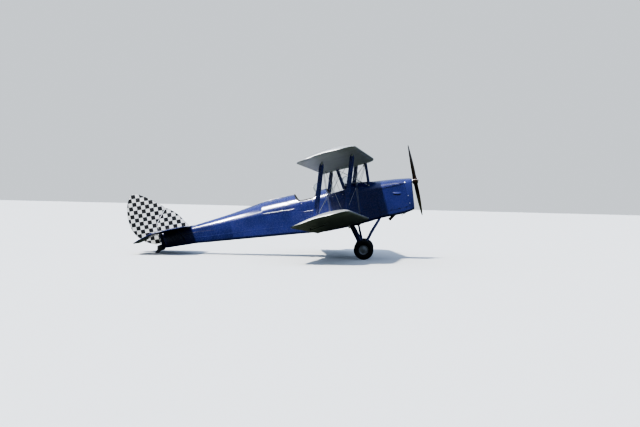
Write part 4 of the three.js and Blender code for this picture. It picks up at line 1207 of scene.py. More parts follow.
bm = bmesh.new()
fabric_plate(bm, rudder_free, rudder_blunt, 0.040, UPRIGHT_RIBS, upright_place)
# The faces of fin and rudder that look into the hinge gap between them are painted near black: painted shade
# in the gap.
painted_gap_shade = finish("painted_gap_shade", (0.012, 0.013, 0.018), 0.6)
made = piece(bm, "rudder_fabric", "rudder", chequer, "chequer_dope", ["rudder"], smooth=60)
repaint(made, painted_gap_shade, lambda at, way: abs(way.y) < 0.3 and way.x > 0.2)
bm = bmesh.new()
fabric_plate(bm, fin_free, fin_blunt, 0.040, UPRIGHT_RIBS, upright_place)
slab(bm, (-6.517, 0, 0.085), (0.026, 0.034, 0.09), bevel=0.006)
made = piece(bm, "fin_fabric", AIRFRAME, chequer, "chequer_dope", ["fin"], smooth=60)
repaint(made, painted_gap_shade, lambda at, way: abs(way.y) < 0.3 and way.x < -0.2)

bm = bmesh.new()
for height, tall in ((-0.105, 0.05), (0.145, 0.05), (0.315, 0.04)):
    lathe(bm, ((0, -tall / 2), (0.011, -tall / 2), (0.011, tall / 2), (0, tall / 2)),
          (-6.537, 0, height), UP, 12)
lathe(bm, ((0, -0.012), (0.0086, -0.012), (0.0086, 0.042), (0, 0.042)), (-6.558, 0, -0.158),
      UP, 12)
closed_piece(bm, "rudder_hinges", AIRFRAME, dark_steel, "steel")

PLANE_FRONT, PLANE_REAR, PLANE_HALF, PLANE_Z = -5.700, -6.443, 1.475, 0.100
ELEVATOR_X = -6.475
ELEVATOR_DROOP = math.radians(14.5)
DROOP = Matrix.Translation((ELEVATOR_X, 0, PLANE_Z)) @ Matrix.Rotation(
    -ELEVATOR_DROOP, 4, "Y") @ Matrix.Translation((-ELEVATOR_X, 0, -PLANE_Z))
plane_free = drawn(
    (PLANE_REAR, -PLANE_HALF), (PLANE_REAR + 0.150, -PLANE_HALF),
    ((PLANE_FRONT - 0.060, -PLANE_HALF + 0.020), (PLANE_FRONT, -PLANE_HALF + 0.620)),
    (PLANE_FRONT, PLANE_HALF - 0.620),
    ((PLANE_FRONT - 0.060, PLANE_HALF - 0.020), (PLANE_REAR + 0.150, PLANE_HALF)),
    (PLANE_REAR, PLANE_HALF),
)
plane_blunt = [(PLANE_REAR, PLANE_HALF), (PLANE_REAR, -PLANE_HALF)]
elevator_free = drawn(
    (ELEVATOR_X, PLANE_HALF), (-6.635, PLANE_HALF), ((-7.015, 1.455), (-7.025, 1.075)),
    (-7.025, 0.400), ((-7.020, 0.330), (-6.965, 0.310)), (ELEVATOR_X - 0.040, 0.072),
    (ELEVATOR_X, 0.072),
)
elevator_blunt = [(ELEVATOR_X, 0.072), (ELEVATOR_X, PLANE_HALF)]
PLANE_RIBS = [-1.4 + 0.2 * i for i in range(15)]

bm = bmesh.new()
fabric_plate(bm, plane_free, plane_blunt, 0.050, PLANE_RIBS, lambda u, out,
             v: (u, v, PLANE_Z + out))
piece(bm, "tailplane_fabric", AIRFRAME, blue_dope, "blue_dope", ["tailplane"], smooth=60)

bm = bmesh.new()
for sign in SIDES.values():
    fabric_plate(bm, elevator_free, elevator_blunt, 0.036, [0.2 * i for i in range(8)],
                 lambda u, out, v: DROOP @ Vector((u, v * sign, PLANE_Z + out)))
    rod(bm, [DROOP @ Vector((ELEVATOR_X, y * sign, PLANE_Z)) for y in (0.072, 0.3, 0.8, 1.475)],
        0.0245, 20)
rod(bm, [(ELEVATOR_X, y, PLANE_Z) for y in (-0.1, 0, 0.1)], 0.016, 20)
closed_piece(bm, "elevator_fabric", "elevators", blue_dope, "blue_dope", ["elevators"], smooth=60)

# The tailplane is held down to the body by a steel strut on each side, and the elevators and
# rudder are worked by cables on steel horns.
bm = bmesh.new()
for sign in SIDES.values():
    for foot, head in (((-6.440, 0.052, -0.215), (-6.400, 0.760, 0.082)),
                       ((-5.900, 0.085, -0.250), (-5.960, 0.730, 0.080))):
        foot, head = mirrored((foot, head), sign)
        rod(bm, [foot, foot.lerp(head, 0.08), foot.lerp(head, 0.92), head],
            [0.008, 0.014, 0.014, 0.008], 16, 0.5)
        slab(bm, head, (0.05, 0.03, 0.012), bevel=0.003)
        slab(bm, foot, (0.05, 0.014, 0.03), bevel=0.003)
closed_piece(bm, "tailplane_struts", AIRFRAME, blue_enamel, "blue_enamel", smooth=45)

HORN_REACH = 0.105
bm = bmesh.new()
slab(bm, (-6.545, 0, -0.060), (0.046, 2 * HORN_REACH, 0.004), bevel=0.0015)
for sign in SIDES.values():
    lathe(bm, ((0, -0.009), (0.005, -0.009), (0.005, 0.009), (0, 0.009)),
          (-6.545, sign * 0.096, -0.060), UP, 8)
closed_piece(bm, "rudder_horn", "rudder", dark_steel, "steel")


def stretched(name, start, stop, moving, radius=0.0016):
    """A control cable from the body to a horn: its end goes with the horn."""
    bm = bmesh.new()
    start, stop = Vector(start), Vector(stop)
    rod(bm, [start.lerp(stop, i / 16) for i in range(17)], radius, 6)
    bmesh.ops.recalc_face_normals(bm, faces=bm.faces)
    made = placed(bm, name, dark_steel)
    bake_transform(made, AIRFRAME, moving, DATUM @ start, DATUM @ stop)


for side, sign in SIDES.items():
    place, _ = on_side(-5.35, -0.075, sign)
    stretched("rudder_cable_" + side, place, (-6.545, sign * 0.096, -0.060), "rudder")
    for end, away in (("upper", 1), ("lower", -1)):
        horn = DROOP @ Vector((ELEVATOR_X - 0.006, sign * 0.150, PLANE_Z + away * 0.115))
        place, _ = on_side(-5.05, -0.030 - 0.10 * (away < 0), sign, -0.004)
        stretched(f"elevator_{end}_cable_{side}", place, horn, "elevators")
bm = bmesh.new()
for sign in SIDES.values():
    for away in (1, -1):
        low = DROOP @ Vector((ELEVATOR_X, sign * 0.150, PLANE_Z + away * 0.012))
        high = DROOP @ Vector((ELEVATOR_X - 0.006, sign * 0.150, PLANE_Z + away * 0.122))
        rod(bm, [low, low.lerp(high, 0.5), high], [0.024, 0.013, 0.006], 12, 0.18)
closed_piece(bm, "elevator_horns", "elevators", dark_steel, "steel")

# The skid is a sprung steel leg with a hard shoe, worn bright where it scrapes the ground.
skid_metal = plain_metal("skid_metal", (0.20, 0.195, 0.19), 0.45, 0.7)
bm = copied("tail_skid", 1.0)
closed_piece(bm, "tail_skid_leg", AIRFRAME, skid_metal, "steel", ["tail_skid"], rim=0.003)


# Each wheel is a spun light-alloy disc on a plain axle, its cover left pale, under a low fat
# tyre with a ribbed tread.
AXLE = Vector((-1.590, 0.800, -1.385))
TYRE_OUT, TYRE_IN, TYRE_HALF = 0.240, 0.1184, 0.066
GROOVES = (-0.033, -0.0165, 0.0, 0.0165, 0.033)

rubber = finish("tyre_rubber", (0.018, 0.018, 0.019), 0.78)
point = node(rubber, "TexCoord", {}).outputs["Object"]
dusty = noise(rubber, point, 21, 6, 0.7)
fine = noise(rubber, point, 240, 4, 0.7)
into(rubber, "Base Color", blend_colours(
    rubber, ramp(rubber, dusty, 0.46, 0.75, 0.0, 0.6), (0.016, 0.016, 0.017), (0.10, 0.095, 0.085)))
into(rubber, "Roughness", ramp(rubber, dusty, 0.3, 0.7, 0.66, 0.92))
into(rubber, "Normal", bump(rubber, fine, 0.0004))

disc_paint = plain_metal("wheel_disc", (0.36, 0.375, 0.39), 0.42, 0.35, 0.6)

tyre_profile = []
for i in range(97):
    t = 2 * math.pi * i / 96
    out = (TYRE_OUT + TYRE_IN) / 2 + (TYRE_OUT - TYRE_IN) / 2 * math.copysign(
        abs(math.cos(t)) ** 0.86, math.cos(t))
    wide = TYRE_HALF * math.copysign(abs(math.sin(t)) ** 0.86, math.sin(t))
    if math.cos(t) > 0.6:
        near = min(abs(wide - groove) for groove in GROOVES)
        out -= 0.0036 * (near < 0.0024)
    if 0.160 < out < 0.215:
        wide -= math.copysign(0.0012 * (0.5 + 0.5 * math.cos((out - 0.2) * 700)), wide)
    tyre_profile.append((out, wide))

WHEEL_PROFILE = ((0.0, 0.0535), (0.012, 0.0535), (0.020, 0.0510), (0.0245, 0.0505), (0.027, 0.0475),
                 (0.0345, 0.042), (0.052, 0.0395), (0.070, 0.036), (0.084, 0.0305), (0.095, 0.032),
                 (0.106, 0.0365), (0.112, 0.042), (0.115, 0.046), (0.1182, 0.046), (0.1182, 0.041),
                 (0.1140, 0.032), (0.1120, 0.010), (0.1120, -0.010), (0.1140, -0.032),
                 (0.1182, -0.041), (0.1182, -0.046), (0.115, -0.046), (0.112, -0.042),
                 (0.106, -0.0365), (0.084, -0.030), (0.064, -0.028), (0.052, -0.031),
                 (0.040, -0.041), (0.036, -0.050), (0.0204, -0.052), (0.0204, 0.005), (0.0, 0.005),)
for side, sign in SIDES.items():
    centre = Vector((AXLE.x, AXLE.y * sign, AXLE.z))
    bm = bmesh.new()
    lathe(bm, tyre_profile, centre, (0, sign, 0), 96)
    closed_piece(bm, f"tyre_{side}_rubber", "wheel_" + side, rubber, "tyre_rubber",
                 ["tyre_" + side], smooth=40)
    bm = bmesh.new()
    lathe(bm, WHEEL_PROFILE, centre, (0, sign, 0), 72)
    for t in turns(8, 0.3):
        place = centre + Vector((0.0995 * math.cos(t), 0.0330 * sign, 0.0995 * math.sin(t)))
        lathe(bm, ((0, 0.0022), (0.0022, 0.002), (0.0042, 0.0), (0.0042, -0.002), (0, -0.002)),
              place, (0.15 * math.cos(t), sign, 0.15 * math.sin(t)), 8)
    valve = centre + Vector((0.050, 0.0375 * sign, -0.040))
    lathe(bm, ((0, 0.001), (0.012, 0.001), (0.016, -0.001), (0.016, -0.006), (0, -0.006)),
          valve, (0, sign, 0), 16)
    closed_piece(bm, f"wheel_{side}_disc", "wheel_" + side, disc_paint, "hub_enamel",
                 ["wheel_" + side], smooth=28)

# The split axle hinges under the belly, stayed by a radius rod, and carries a long-travel
# rubber-sprung leg in a streamlined fairing, its bright tube showing at the foot.
for side, sign in SIDES.items():
    bm = bmesh.new()
    rod(bm, mirrored(((-1.590, 0.690, -1.385), (-1.590, 0.750, -1.385), (-1.590, 0.8040, -1.385)),
                     sign), 0.020, 20)
    rod(bm, mirrored(((-1.590, 0.727, -1.390), (-1.590, 0.400, -1.088), (-1.590, 0.056, -0.775)),
                     sign), 0.021, 20)
    rod(bm, mirrored(((-1.596, 0.694, -1.350), (-1.569, 0.672, -1.318), (-1.540, 0.649, -1.284),
                      (-1.321, 0.475, -1.025), (-1.075, 0.300, -0.768), (-1.046, 0.279, -0.737)),
                     sign), [0.0175, 0.0185, 0.030, 0.032, 0.030, 0.0200], 18, 0.55)
    lathe(bm, ((0, -0.014), (0.036, -0.014), (0.040, -0.008), (0.040, 0.008), (0.036, 0.014),
               (0, 0.014)), (-1.590, sign * 0.716, -1.385), (0, 1, 0), 28)
    slab(bm, (-1.590, sign * 0.045, -0.776), (0.095, 0.060, 0.016), bevel=0.004)
    slab(bm, (-1.046, sign * 0.272, -0.735), (0.075, 0.055, 0.016), bevel=0.004)
    closed_piece(bm, "axle_tubes_" + side, AIRFRAME, blue_enamel, "blue_enamel", ["axle_" + side],
                 smooth=40)

    foot, head = mirrored(((-1.590, 0.700, -1.381), (-1.765, 0.290, -0.730)), sign)
    along, ahead, across = stood(foot, head)
    rings = []
    length = (head - foot).length
    for stop, size in ((0.075, 0.60), (0.082, 0.68), (0.11, 0.80), (0.17, 0.94), (0.26, 1.0),
                       (0.45, 1.0), (0.62, 1.0), (length + 0.012, 0.92)):
        rings.append([
            foot + along * stop + ahead * (math.cos(t) * 0.056 * size)
            + across * (math.sin(t) * 0.026 * size * (1 + 0.2 * math.cos(t)))
            for t in turns(28)
        ])
    bm = bmesh.new()
    skin(bm, rings)
    closed_piece(bm, f"compression_leg_{side}_fairing", AIRFRAME, blue_enamel, "blue_enamel",
                 ["compression_leg_" + side], smooth=50)
    bm = bmesh.new()
    rod(bm, [foot + along * s for s in (0.018, 0.05, 0.12)], 0.019, 20)
    lathe(bm, ((0, -0.020), (0.0255, -0.020), (0.0265, -0.016), (0.0265, 0.016), (0.0255, 0.020),
               (0, 0.020)), foot + Vector((0, 0, 0.001)), (0, 1, 0), 24)
    closed_piece(bm, "leg_tube_" + side, AIRFRAME, steel, "steel", smooth=40)


# The two cockpits are open holes in plywood decking over a steel-tube frame. Padded leather
# rolls edge them, the drop-down doors carry their own stretch, and the inside is painted green.
LEATHER = (0.085, 0.040, 0.022)


def hide(name, tone):
    """Oiled leather: fine pebbling, soft creases and paler scuffs on the high places."""
    made = finish(name, tone, 0.5, coat_weight=0.15, coat_roughness=0.4)
    point = node(made, "TexCoord", {}).outputs["Object"]
    pebbles = node(made, "TexVoronoi", {"Vector": point, "Scale": 520.0},
                   feature="SMOOTH_F1").outputs["Distance"]
    creases = noise(made, point, 42, 5, 0.7)
    worn = noise(made, point, 9, 4, 0.6)
    pale = tuple(min(c * 2.1 + 0.02, 1) for c in tone)
    into(made, "Base Color", blend_colours(made, ramp(made, worn, 0.50, 0.75, 0.0, 0.7), tone,
                                           pale))
    into(made, "Roughness", ramp(made, worn, 0.3, 0.75, 0.40, 0.66))
    into(made, "Normal", bump(made, pebbles, 0.0006, bump(made, creases, 0.0012)))
    return made


leather = hide("seat_leather", LEATHER)
black_leather = hide("coaming_leather", (0.022, 0.019, 0.018))
COAMING_Z, ROLL = 0.112, 0.0155
COCKPITS = (
    {"name": "front", "front": -1.700, "rear": -2.200, "door": (-1.772, -2.092), "seat": -2.130},
    {"name": "rear", "front": -2.440, "rear": -3.010, "door": (-2.530, -2.890), "seat": -2.970},
)


def deck_line(cockpit, side):
    """The cut's edge on one side, from the deck's middle ahead round to its middle behind."""
    front, rear = cockpit["front"], cockpit["rear"]
    outline = bezier((front + 0.06, 0.5), (front, COAMING_Z + 0.02), (front - 0.09, COAMING_Z), 26)
    outline += [(front - 0.09 + (rear - front + 0.22) * i / 12, COAMING_Z) for i in range(1, 12)]
    outline += bezier((rear + 0.13, COAMING_Z), (rear + 0.02, COAMING_Z + 0.01), (rear, 0.5), 26)
    edge = []
    for x, z in outline:
        place, _ = on_side(x, z, side)
        if place and abs(place.y) > 0.02 and z < 0.49:
            edge.append(Vector((x, place.y - side * 0.014, z)))
    return edge


def even(points, gap):
    """The same path in steps of one length."""
    path, made, left = points, [points[0]], gap
    for a, b in zip(path, path[1:]):
        run = (b - a).length
        while run > left:
            a = a.lerp(b, left / run)
            made.append(a)
            run = (b - a).length
            left = gap
        left -= run
    return made + [path[-1]]


for cockpit in COCKPITS:
    name = cockpit["name"]
    lines = {side: deck_line(cockpit, sign) for side, sign in SIDES.items()}
    door_front, door_rear = cockpit["door"]
    for where in ("ahead", "behind"):
        halves = []
        for side in SIDES:
            line = lines[side]
            if where == "ahead":
                halves.append([p for p in line if p.x > door_front + 0.012])
            else:
                halves.append([p for p in line if p.x < door_rear - 0.012][::-1])
        path = halves[0][::-1] + halves[1]
        path = even(path, 0.012)
        path = [(path[max(i - 1, 0)] + path[i] + path[min(i + 1, len(path) - 1)]) / 3
                for i in range(len(path))]
        bm = bmesh.new()
        swell = [ROLL * (1 + 0.05 * math.sin(i * 1.9)) for i in range(len(path))]
        for i in (0, 1, -1, -2):
            swell[i] *= 0.55 if i in (0, -1) else 0.9
        rod(bm, path, swell, 12)
        closed_piece(bm, f"{name}_coaming_{where}", AIRFRAME, black_leather, "seat_leather",
                     smooth=80)
    for side, sign in SIDES.items():
        bm = bmesh.new()
        ends = [door_front - 0.012, door_rear + 0.012]
        path = []
        for x in evenly(ends[0], ends[1] - ends[0], 24):
            place, _ = on_side(x, COAMING_Z - 0.02, sign)
            path.append(Vector((x, place.y - sign * 0.014, COAMING_Z + 0.002)))
        swell = [ROLL * (1 + 0.05 * math.sin(i * 1.7)) for i in range(25)]
        swell[0] = swell[-1] = ROLL * 0.6
        rod(bm, path, swell, 12)
        closed_piece(bm, f"{name}_door_pad_{side}", f"{name}_door_{side}", black_leather,
                     "seat_leather", smooth=80)

# Two bolts shoot fore and aft to hold each door up, worked by a small knob on the inside, and a
# turn button shows outside.
for cockpit in COCKPITS:
    name = cockpit["name"]
    for side, sign in SIDES.items():
        bm = bmesh.new()
        for x in (cockpit["door"][0] - 0.035, cockpit["door"][1] + 0.035):
            place, normal = on_side(x, 0.045, sign)
            inward = place - Vector((0, sign * 0.034, 0))
            rod(bm, [inward + Vector((-0.028, 0, 0)), inward, inward + Vector((0.028, 0, 0))],
                0.005, 10)
            slab(bm, inward + Vector((0, sign * 0.003, 0)), (0.034, 0.006, 0.022), bevel=0.0015)
            lathe(bm, ((0, 0.0045), (0.010, 0.0035), (0.013, 0.001), (0.013, -0.002), (0, -0.002)),
                  place, normal, 18)
            turn = turned_to(normal)
            slab(bm, place + normal * 0.006, (0.022, 0.006, 0.004), turn, bevel=0.0012)
        closed_piece(bm, f"{name}_door_bolts_{side}", f"{name}_door_{side}", steel, "steel")

# Inside, welded steel tubes frame the body; ply floor boards lie over them, and each panel is a
# sheet of black-painted ply with its instruments let in.
inner_tree = joined_tree(FUSELAGE)


def wall_at(x, z, side):
    """The inner face of the body's wall, looked for from the middle."""
    place, normal, _, _ = inner_tree.ray_cast(Vector((x, 0, z)), Vector((0, side, 0)))
    return abs(place.y) if place else 0.28


def floor_at(x):
    """The inner face of the belly."""
    place, _, _, _ = inner_tree.ray_cast(Vector((x, 0.1, -0.3)), Vector((0, 0, -1)))
    return place.z if place else -0.70


bm = bmesh.new()
for sign in SIDES.values():
    for z in (-0.02, -0.56):
        path = []
        for x in evenly(-1.06, -2.02, 12):
            path.append(Vector((x,
                                sign * (wall_at(x, min(z, -0.19) if z > -0.1 else z, sign) - 0.016),
                                z if z < -0.1 else -0.195)))
        rod(bm, path, 0.011, 10)
    for x in (-1.06, -1.68, -2.27, -2.36, -3.06):
        high, low = -0.195, -0.56
        rod(bm, [Vector((x, sign * (wall_at(x, z, sign) - 0.016), z)) for z in (high, -0.38, low)],
            0.010, 10)
bmesh.ops.recalc_face_normals(bm, faces=bm.faces)
frame_green = finish("frame_green", (0.165, 0.205, 0.135), 0.45)
piece(bm, "body_frame_tubes", AIRFRAME, frame_green, "steel")

ply = finish("floor_ply", (0.30, 0.19, 0.095), 0.55)
point = datum_point(ply)
grain = noise(ply, node(ply, "Mapping", {"Vector": point, "Scale": (2.5, 46, 10)}).outputs[0], 1.4,
              6, 0.65)
dirt = noise(ply, point, 8, 5, 0.7)
into(ply, "Base Color", blend_colours(
    ply, ramp(ply, dirt, 0.42, 0.75, 0.0, 0.8),
    blend_colours(ply, ramp(ply, grain, 0.3, 0.7), (0.33, 0.21, 0.105), (0.20, 0.115, 0.055)),
    (0.085, 0.07, 0.055)))
into(ply, "Normal", bump(ply, grain, 0.0006))
bm = bmesh.new()
for front, rear in ((-1.06, -1.72), (-2.28, -2.66)):
    middle = (front + rear) / 2
    level = max(floor_at(x) for x in (front, middle, rear)) + 0.012
    for y in (-0.17, 0.0, 0.17):
        slab(bm, (middle, y, level), (front - rear, 0.160, 0.009), bevel=0.0015)
closed_piece(bm, "floor_boards", AIRFRAME, ply, "engine_iron")

panel_black = finish("panel_black", (0.016, 0.016, 0.017), 0.5)
point = node(panel_black, "TexCoord", {}).outputs["Object"]
into(panel_black, "Normal", bump(panel_black, noise(panel_black, point, 330, 3, 0.6), 0.0003))
into(panel_black, "Base Color", blend_colours(
    panel_black, ramp(panel_black, noise(panel_black, point, 30, 5, 0.7), 0.5, 0.8, 0.0, 0.6),
    (0.014, 0.014, 0.015), (0.06, 0.058, 0.055)))
# The dial marks carry a faint emission of their own colour: a painted glow, though they are no lamp.
dial_glow_paint = finish("dial_marks", (0.78, 0.77, 0.70), 0.5, emission_color=(0.78, 0.77, 0.70, 1),
                    emission_strength=0.03)
dial_glass = finish("dial_glass", (0.9, 0.92, 0.92), 0.03, transmission_weight=1.0, ior=1.45)
DIALS = (  # across, above the panel's middle, radius, pointer's turn
    (-0.150, 0.055, 0.041, 205), (-0.052, 0.062, 0.036, 90), (0.052, 0.062, 0.036, 140),
    (0.150, 0.055, 0.041, 230), (-0.100, -0.040, 0.030, 40), (0.100, -0.040, 0.030, 310),
)


def dial_parts(black, white, glass, centre, radius, turn, facing):
    """A dial: bezel and face, ticks and pointer, and its glass."""
    lathe(black, ((0.0, 0.002), (radius * 0.86, 0.002), (radius * 0.88, 0.009),
                  (radius * 0.95, 0.011), (radius, 0.008), (radius, -0.010), (0, -0.010)), centre,
          facing, 32)
    frame_turn = UP.rotation_difference(facing).to_matrix()
    for tick in range(12):
        around = math.radians(tick * 30)
        length = radius * (0.20 if tick % 3 == 0 else 0.11)
        reach_out = radius * 0.83 - length / 2
        spot = centre + frame_turn @ Vector((math.cos(around) * reach_out,
                                             math.sin(around) * reach_out, 0.0026))
        spin_turn = (frame_turn @ Matrix.Rotation(around, 3, "Z")).to_4x4()
        slab(white, spot, (length, radius * (0.05 if tick % 3 == 0 else 0.03), 0.0006), spin_turn)
    around = math.radians(turn)
    spot = centre + frame_turn @ Vector((math.cos(around) * radius * 0.3,
                                         math.sin(around) * radius * 0.3, 0.0045))
    slab(white, spot, (radius * 0.72, radius * 0.05, 0.0008),
         (frame_turn @ Matrix.Rotation(around, 3, "Z")).to_4x4())
    lathe(black, ((0, 0.0062), (radius * 0.10, 0.0058), (radius * 0.10, 0.003), (0, 0.003)), centre,
          facing, 12)
    lathe(glass, ((0, 0.0085), (radius * 0.87, 0.0085), (radius * 0.87, 0.0075), (0, 0.0075)),
          centre, facing, 24)


for cockpit in COCKPITS:
    name = cockpit["name"]
    x = cockpit["front"] + 0.052
    black, white, glass = bmesh.new(), bmesh.new(), bmesh.new()
    board = bmesh.new()
    top_z, low_z = 0.235, -0.075
    rim = [(wall_at(x, z, 1) - 0.006, z) for z in evenly(low_z, top_z - low_z, 14)]
    outline = [(y, z) for y, z in rim] + [(-y, z) for y, z in rim[::-1]]
    skin(board, [[(x + deep, y, z) for y, z in outline] for deep in (0, 0.008)])
    closed_piece(board, f"{name}_instrument_board", AIRFRAME, panel_black, "engine_iron",
                 rim=0.0015)
    for across, above, radius, turn in DIALS:
        dial_parts(black, white, glass, Vector((x - 0.001, across, 0.075 + above)), radius, turn,
                   Vector((-1, 0, 0)))
    dial_parts(black, white, glass, Vector((x - 0.001, 0.0, -0.028)), 0.026, 270,
               Vector((-1, 0, 0)))
    dial_parts(black, white, glass, Vector((cockpit["front"] - 0.020, 0.0, -0.164)), 0.051, 215,
               UP)
    for across in (-0.205, -0.185, 0.195):
        lathe(black, ((0, 0.016), (0.004, 0.016), (0.0055, 0.006), (0.011, 0.003), (0.011, -0.004),
                      (0, -0.004)), (x - 0.001, across, 0.010), (-1, 0, 0), 14)
    for part, bm, paint, kind in (("dials", black, panel_black, "engine_iron"),
                                  ("dial_marks", white, dial_glow_paint, "hub_enamel"),
                                  ("dial_glasses", glass, dial_glass, "windscreen_glass")):
        closed_piece(bm, f"{name}_{part}", AIRFRAME, paint, kind)

# A compass stands on a bracket below each panel; the stick, throttle and rudder bar are steel
# and black-painted, their grips of hard rubber.
for cockpit in COCKPITS:
    name, seat = cockpit["name"], cockpit["seat"]
    bm = bmesh.new()
    centre = Vector((cockpit["front"] - 0.02, 0.0, -0.185))
    lathe(bm, ((0, 0.020), (0.052, 0.020), (0.056, 0.026), (0.062, 0.026), (0.064, 0.018),
               (0.064, -0.026), (0.058, -0.034), (0, -0.034)), centre, UP, 36)
    rod(bm, [centre + Vector((0.02, 0, -0.03)), centre + Vector((0.05, 0, -0.02)),
             centre + Vector((0.075, 0, 0.11))], 0.008, 10)
    base = Vector((seat + 0.52, 0, floor_at(seat + 0.52) + 0.016))
    knee, hand = base + Vector((0.006, 0, 0.30)), base + Vector((-0.045, 0, 0.500))
    rod(bm, [base, base + Vector((0.003, 0, 0.15)), knee, knee.lerp(hand, 0.5), hand],
        [0.015, 0.0135, 0.0125, 0.0125, 0.0125], 14)
    rod(bm, [hand, hand + Vector((-0.006, 0, 0.03)), hand + Vector((-0.016, 0, 0.085)),
             hand + Vector((-0.018, 0, 0.100))], [0.0135, 0.0175, 0.0180, 0.0120], 16)
    lathe(bm, ((0, 0.03), (0.020, 0.03), (0.042, 0.012), (0.046, 0), (0, 0)), base, UP, 20)
    bar_x = seat + 0.98
    level = floor_at(bar_x) + 0.085
    rod(bm, [(bar_x - 0.03, -0.21, level), (bar_x, -0.12, level), (bar_x, 0.12, level),
             (bar_x - 0.03, 0.21, level)], 0.013, 12)
    rod(bm, [(bar_x, 0, floor_at(bar_x)), (bar_x, 0, level - 0.04), (bar_x, 0, level + 0.018)],
        0.016, 14)
    for sign in SIDES.values():
        slab(bm, (bar_x - 0.028, sign * 0.175, level + 0.004), (0.055, 0.085, 0.010), bevel=0.003)
        rod(bm, [(bar_x - 0.03, sign * 0.215, level), (bar_x - 0.03, sign * 0.218, level + 0.07)],
            0.006, 8)
    lever_y = wall_at(seat + 0.52, -0.26, 1) - 0.030
    rod(bm, [(seat + 0.50, lever_y, -0.33), (seat + 0.52, lever_y, -0.26),
             (seat + 0.545, lever_y - 0.012, -0.215)], 0.0055, 10)
    lathe(bm, ((0, 0.016), (0.010, 0.012), (0.014, 0), (0.010, -0.012), (0, -0.016)),
          (seat + 0.548, lever_y - 0.014, -0.205), (0, 1, 0), 16)
    slab(bm, (seat + 0.50, lever_y + 0.006, -0.335), (0.13, 0.012, 0.05), bevel=0.004)
    closed_piece(bm, f"{name}_controls", AIRFRAME, panel_black, "engine_iron", smooth=45)

# Each seat is a bucket of thin pressed aluminium on its stand, with two stuffed leather
# cushions and a four-strap webbing harness. The cushions are inflated as cloth and then set.
seat_metal = plain_metal("seat_metal", (0.135, 0.165, 0.115), 0.5, 0.25, 0.4)
webbing = finish("harness_webbing", (0.155, 0.145, 0.105), 0.85, sheen_weight=0.3)
point = node(webbing, "TexCoord", {}).outputs["Object"]
weave_lines = node(webbing, "TexWave", {"Vector": point, "Scale": 160, "Distortion": 0.3},
                   bands_direction="DIAGONAL").outputs["Fac"]
into(webbing, "Normal", bump(webbing, weave_lines, 0.0005))
into(webbing, "Base Color", blend_colours(
    webbing, noise(webbing, point, 30, 5, 0.7), (0.17, 0.16, 0.115), (0.10, 0.092, 0.068)))
CUSHION_VOXEL, CUSHION_CAP = 0.006, 0.010
CUSHION_PRESSURE, CUSHION_FRAMES, CUSHION_FILL = 4, 20, 0.7


def cushion(name, centre, size, turn):
    """A stuffed square cushion: swollen by cloth pressure, then piped round its middle."""
    matrix = DATUM @ Matrix.Translation(centre) @ turn
    bm = bmesh.new()
    bmesh.ops.create_cube(bm, size=1, matrix=Matrix.Diagonal((*size, 1)))
    bmesh.ops.bevel(bm, geom=list(bm.edges), offset=min(size) * 0.42, segments=4, profile=0.5,
                    affect="EDGES", material=-1)
    mesh = bpy.data.meshes.new(name)
    bm.to_mesh(mesh)
    bm.free()
    made = bpy.data.objects.new(name, mesh)
    bpy.context.scene.collection.objects.link(made)
    bpy.context.view_layer.objects.active = made
    remesh = made.modifiers.new("remesh", "REMESH")
    remesh.mode, remesh.voxel_size = "VOXEL", CUSHION_VOXEL
    bpy.ops.object.modifier_apply(modifier="remesh")
    before = [v.co.copy() for v in mesh.vertices]
    cloth = made.modifiers.new("cloth", "CLOTH")
    cloth.settings.use_pressure = True
    cloth.settings.uniform_pressure_force = CUSHION_PRESSURE
    cloth.settings.effector_weights.gravity = 0
    for step in range(1, CUSHION_FRAMES + 1):
        bpy.context.scene.frame_set(step)
    bpy.ops.object.modifier_apply(modifier="cloth")
    bpy.context.scene.frame_set(1)
    mesh = made.data
    for vert, old in zip(mesh.vertices, before):
        shift = vert.co - old
        if shift.length > CUSHION_CAP:
            vert.co = old + shift.normalized() * CUSHION_CAP
        across = abs(vert.co.x) / (size[0] / 2), abs(vert.co.y) / (size[1] / 2)
        pulled = 0.035 * (1 - min(across[1], 1) ** 2) * max(across[0] - 0.55, 0) / 0.45
        vert.co.x *= 1 - pulled
        pulled = 0.035 * (1 - min(across[0], 1) ** 2) * max(across[1] - 0.55, 0) / 0.45
        vert.co.y *= 1 - pulled
        for bx, by in ((-0.2, -0.2), (-0.2, 0.2), (0.2, -0.2), (0.2, 0.2), (0, 0)):
            spread = math.hypot(vert.co.x - bx * size[0], vert.co.y - by * size[1])
            vert.co.z -= math.copysign(0.011, vert.co.z) * math.exp(-((spread / 0.022) ** 2)) * (
                abs(vert.co.z) > size[2] * 0.2)
    mesh.transform(matrix)
    mesh.materials.append(leather)
    mesh.shade_smooth()
    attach(made, AIRFRAME)
    smoother = made.modifiers.new("smooth", "SUBSURF")
    smoother.levels = smoother.render_levels = 1
    bm = bmesh.new()
    path = []
    for t in turns(72):
        fore = math.copysign(abs(math.cos(t)) ** 0.42, math.cos(t)) * (size[0] / 2 + 0.004)
        sideways = math.copysign(abs(math.sin(t)) ** 0.42, math.sin(t)) * (size[1] / 2 + 0.004)
        path.append(Vector((fore, sideways, 0)))
    rings = []
    for i, spot in enumerate(path):
        along = (path[(i + 1) % 72] - path[i - 1]).normalized()
        out = along.cross(UP)
        rings.append([Matrix.Translation(centre) @ turn @ (spot + out * math.cos(t) * 0.0042
                      + UP * math.sin(t) * 0.0042) for t in turns(8)])
    skin(bm, rings, loop=True)
    closed_piece(bm, name + "_piping", AIRFRAME, black_leather, "seat_leather", smooth=80)
    return made


def strap(bm, points, wide, thick=0.003, across=Vector((0, 1, 0))):
    """Flat webbing laid along a path."""
    points = [Vector(p) for p in points]
    rings = []
    for i, spot in enumerate(points):
        along = heading(points, i)
        flat = (across - along * across.dot(along)).normalized()
        up = flat.cross(along)
        rings.append([spot + flat * a * wide / 2 + up * b * thick / 2
                      for a, b in ((-1, -1), (1, -1), (1, 1), (-1, 1))])
    skin(bm, rings)


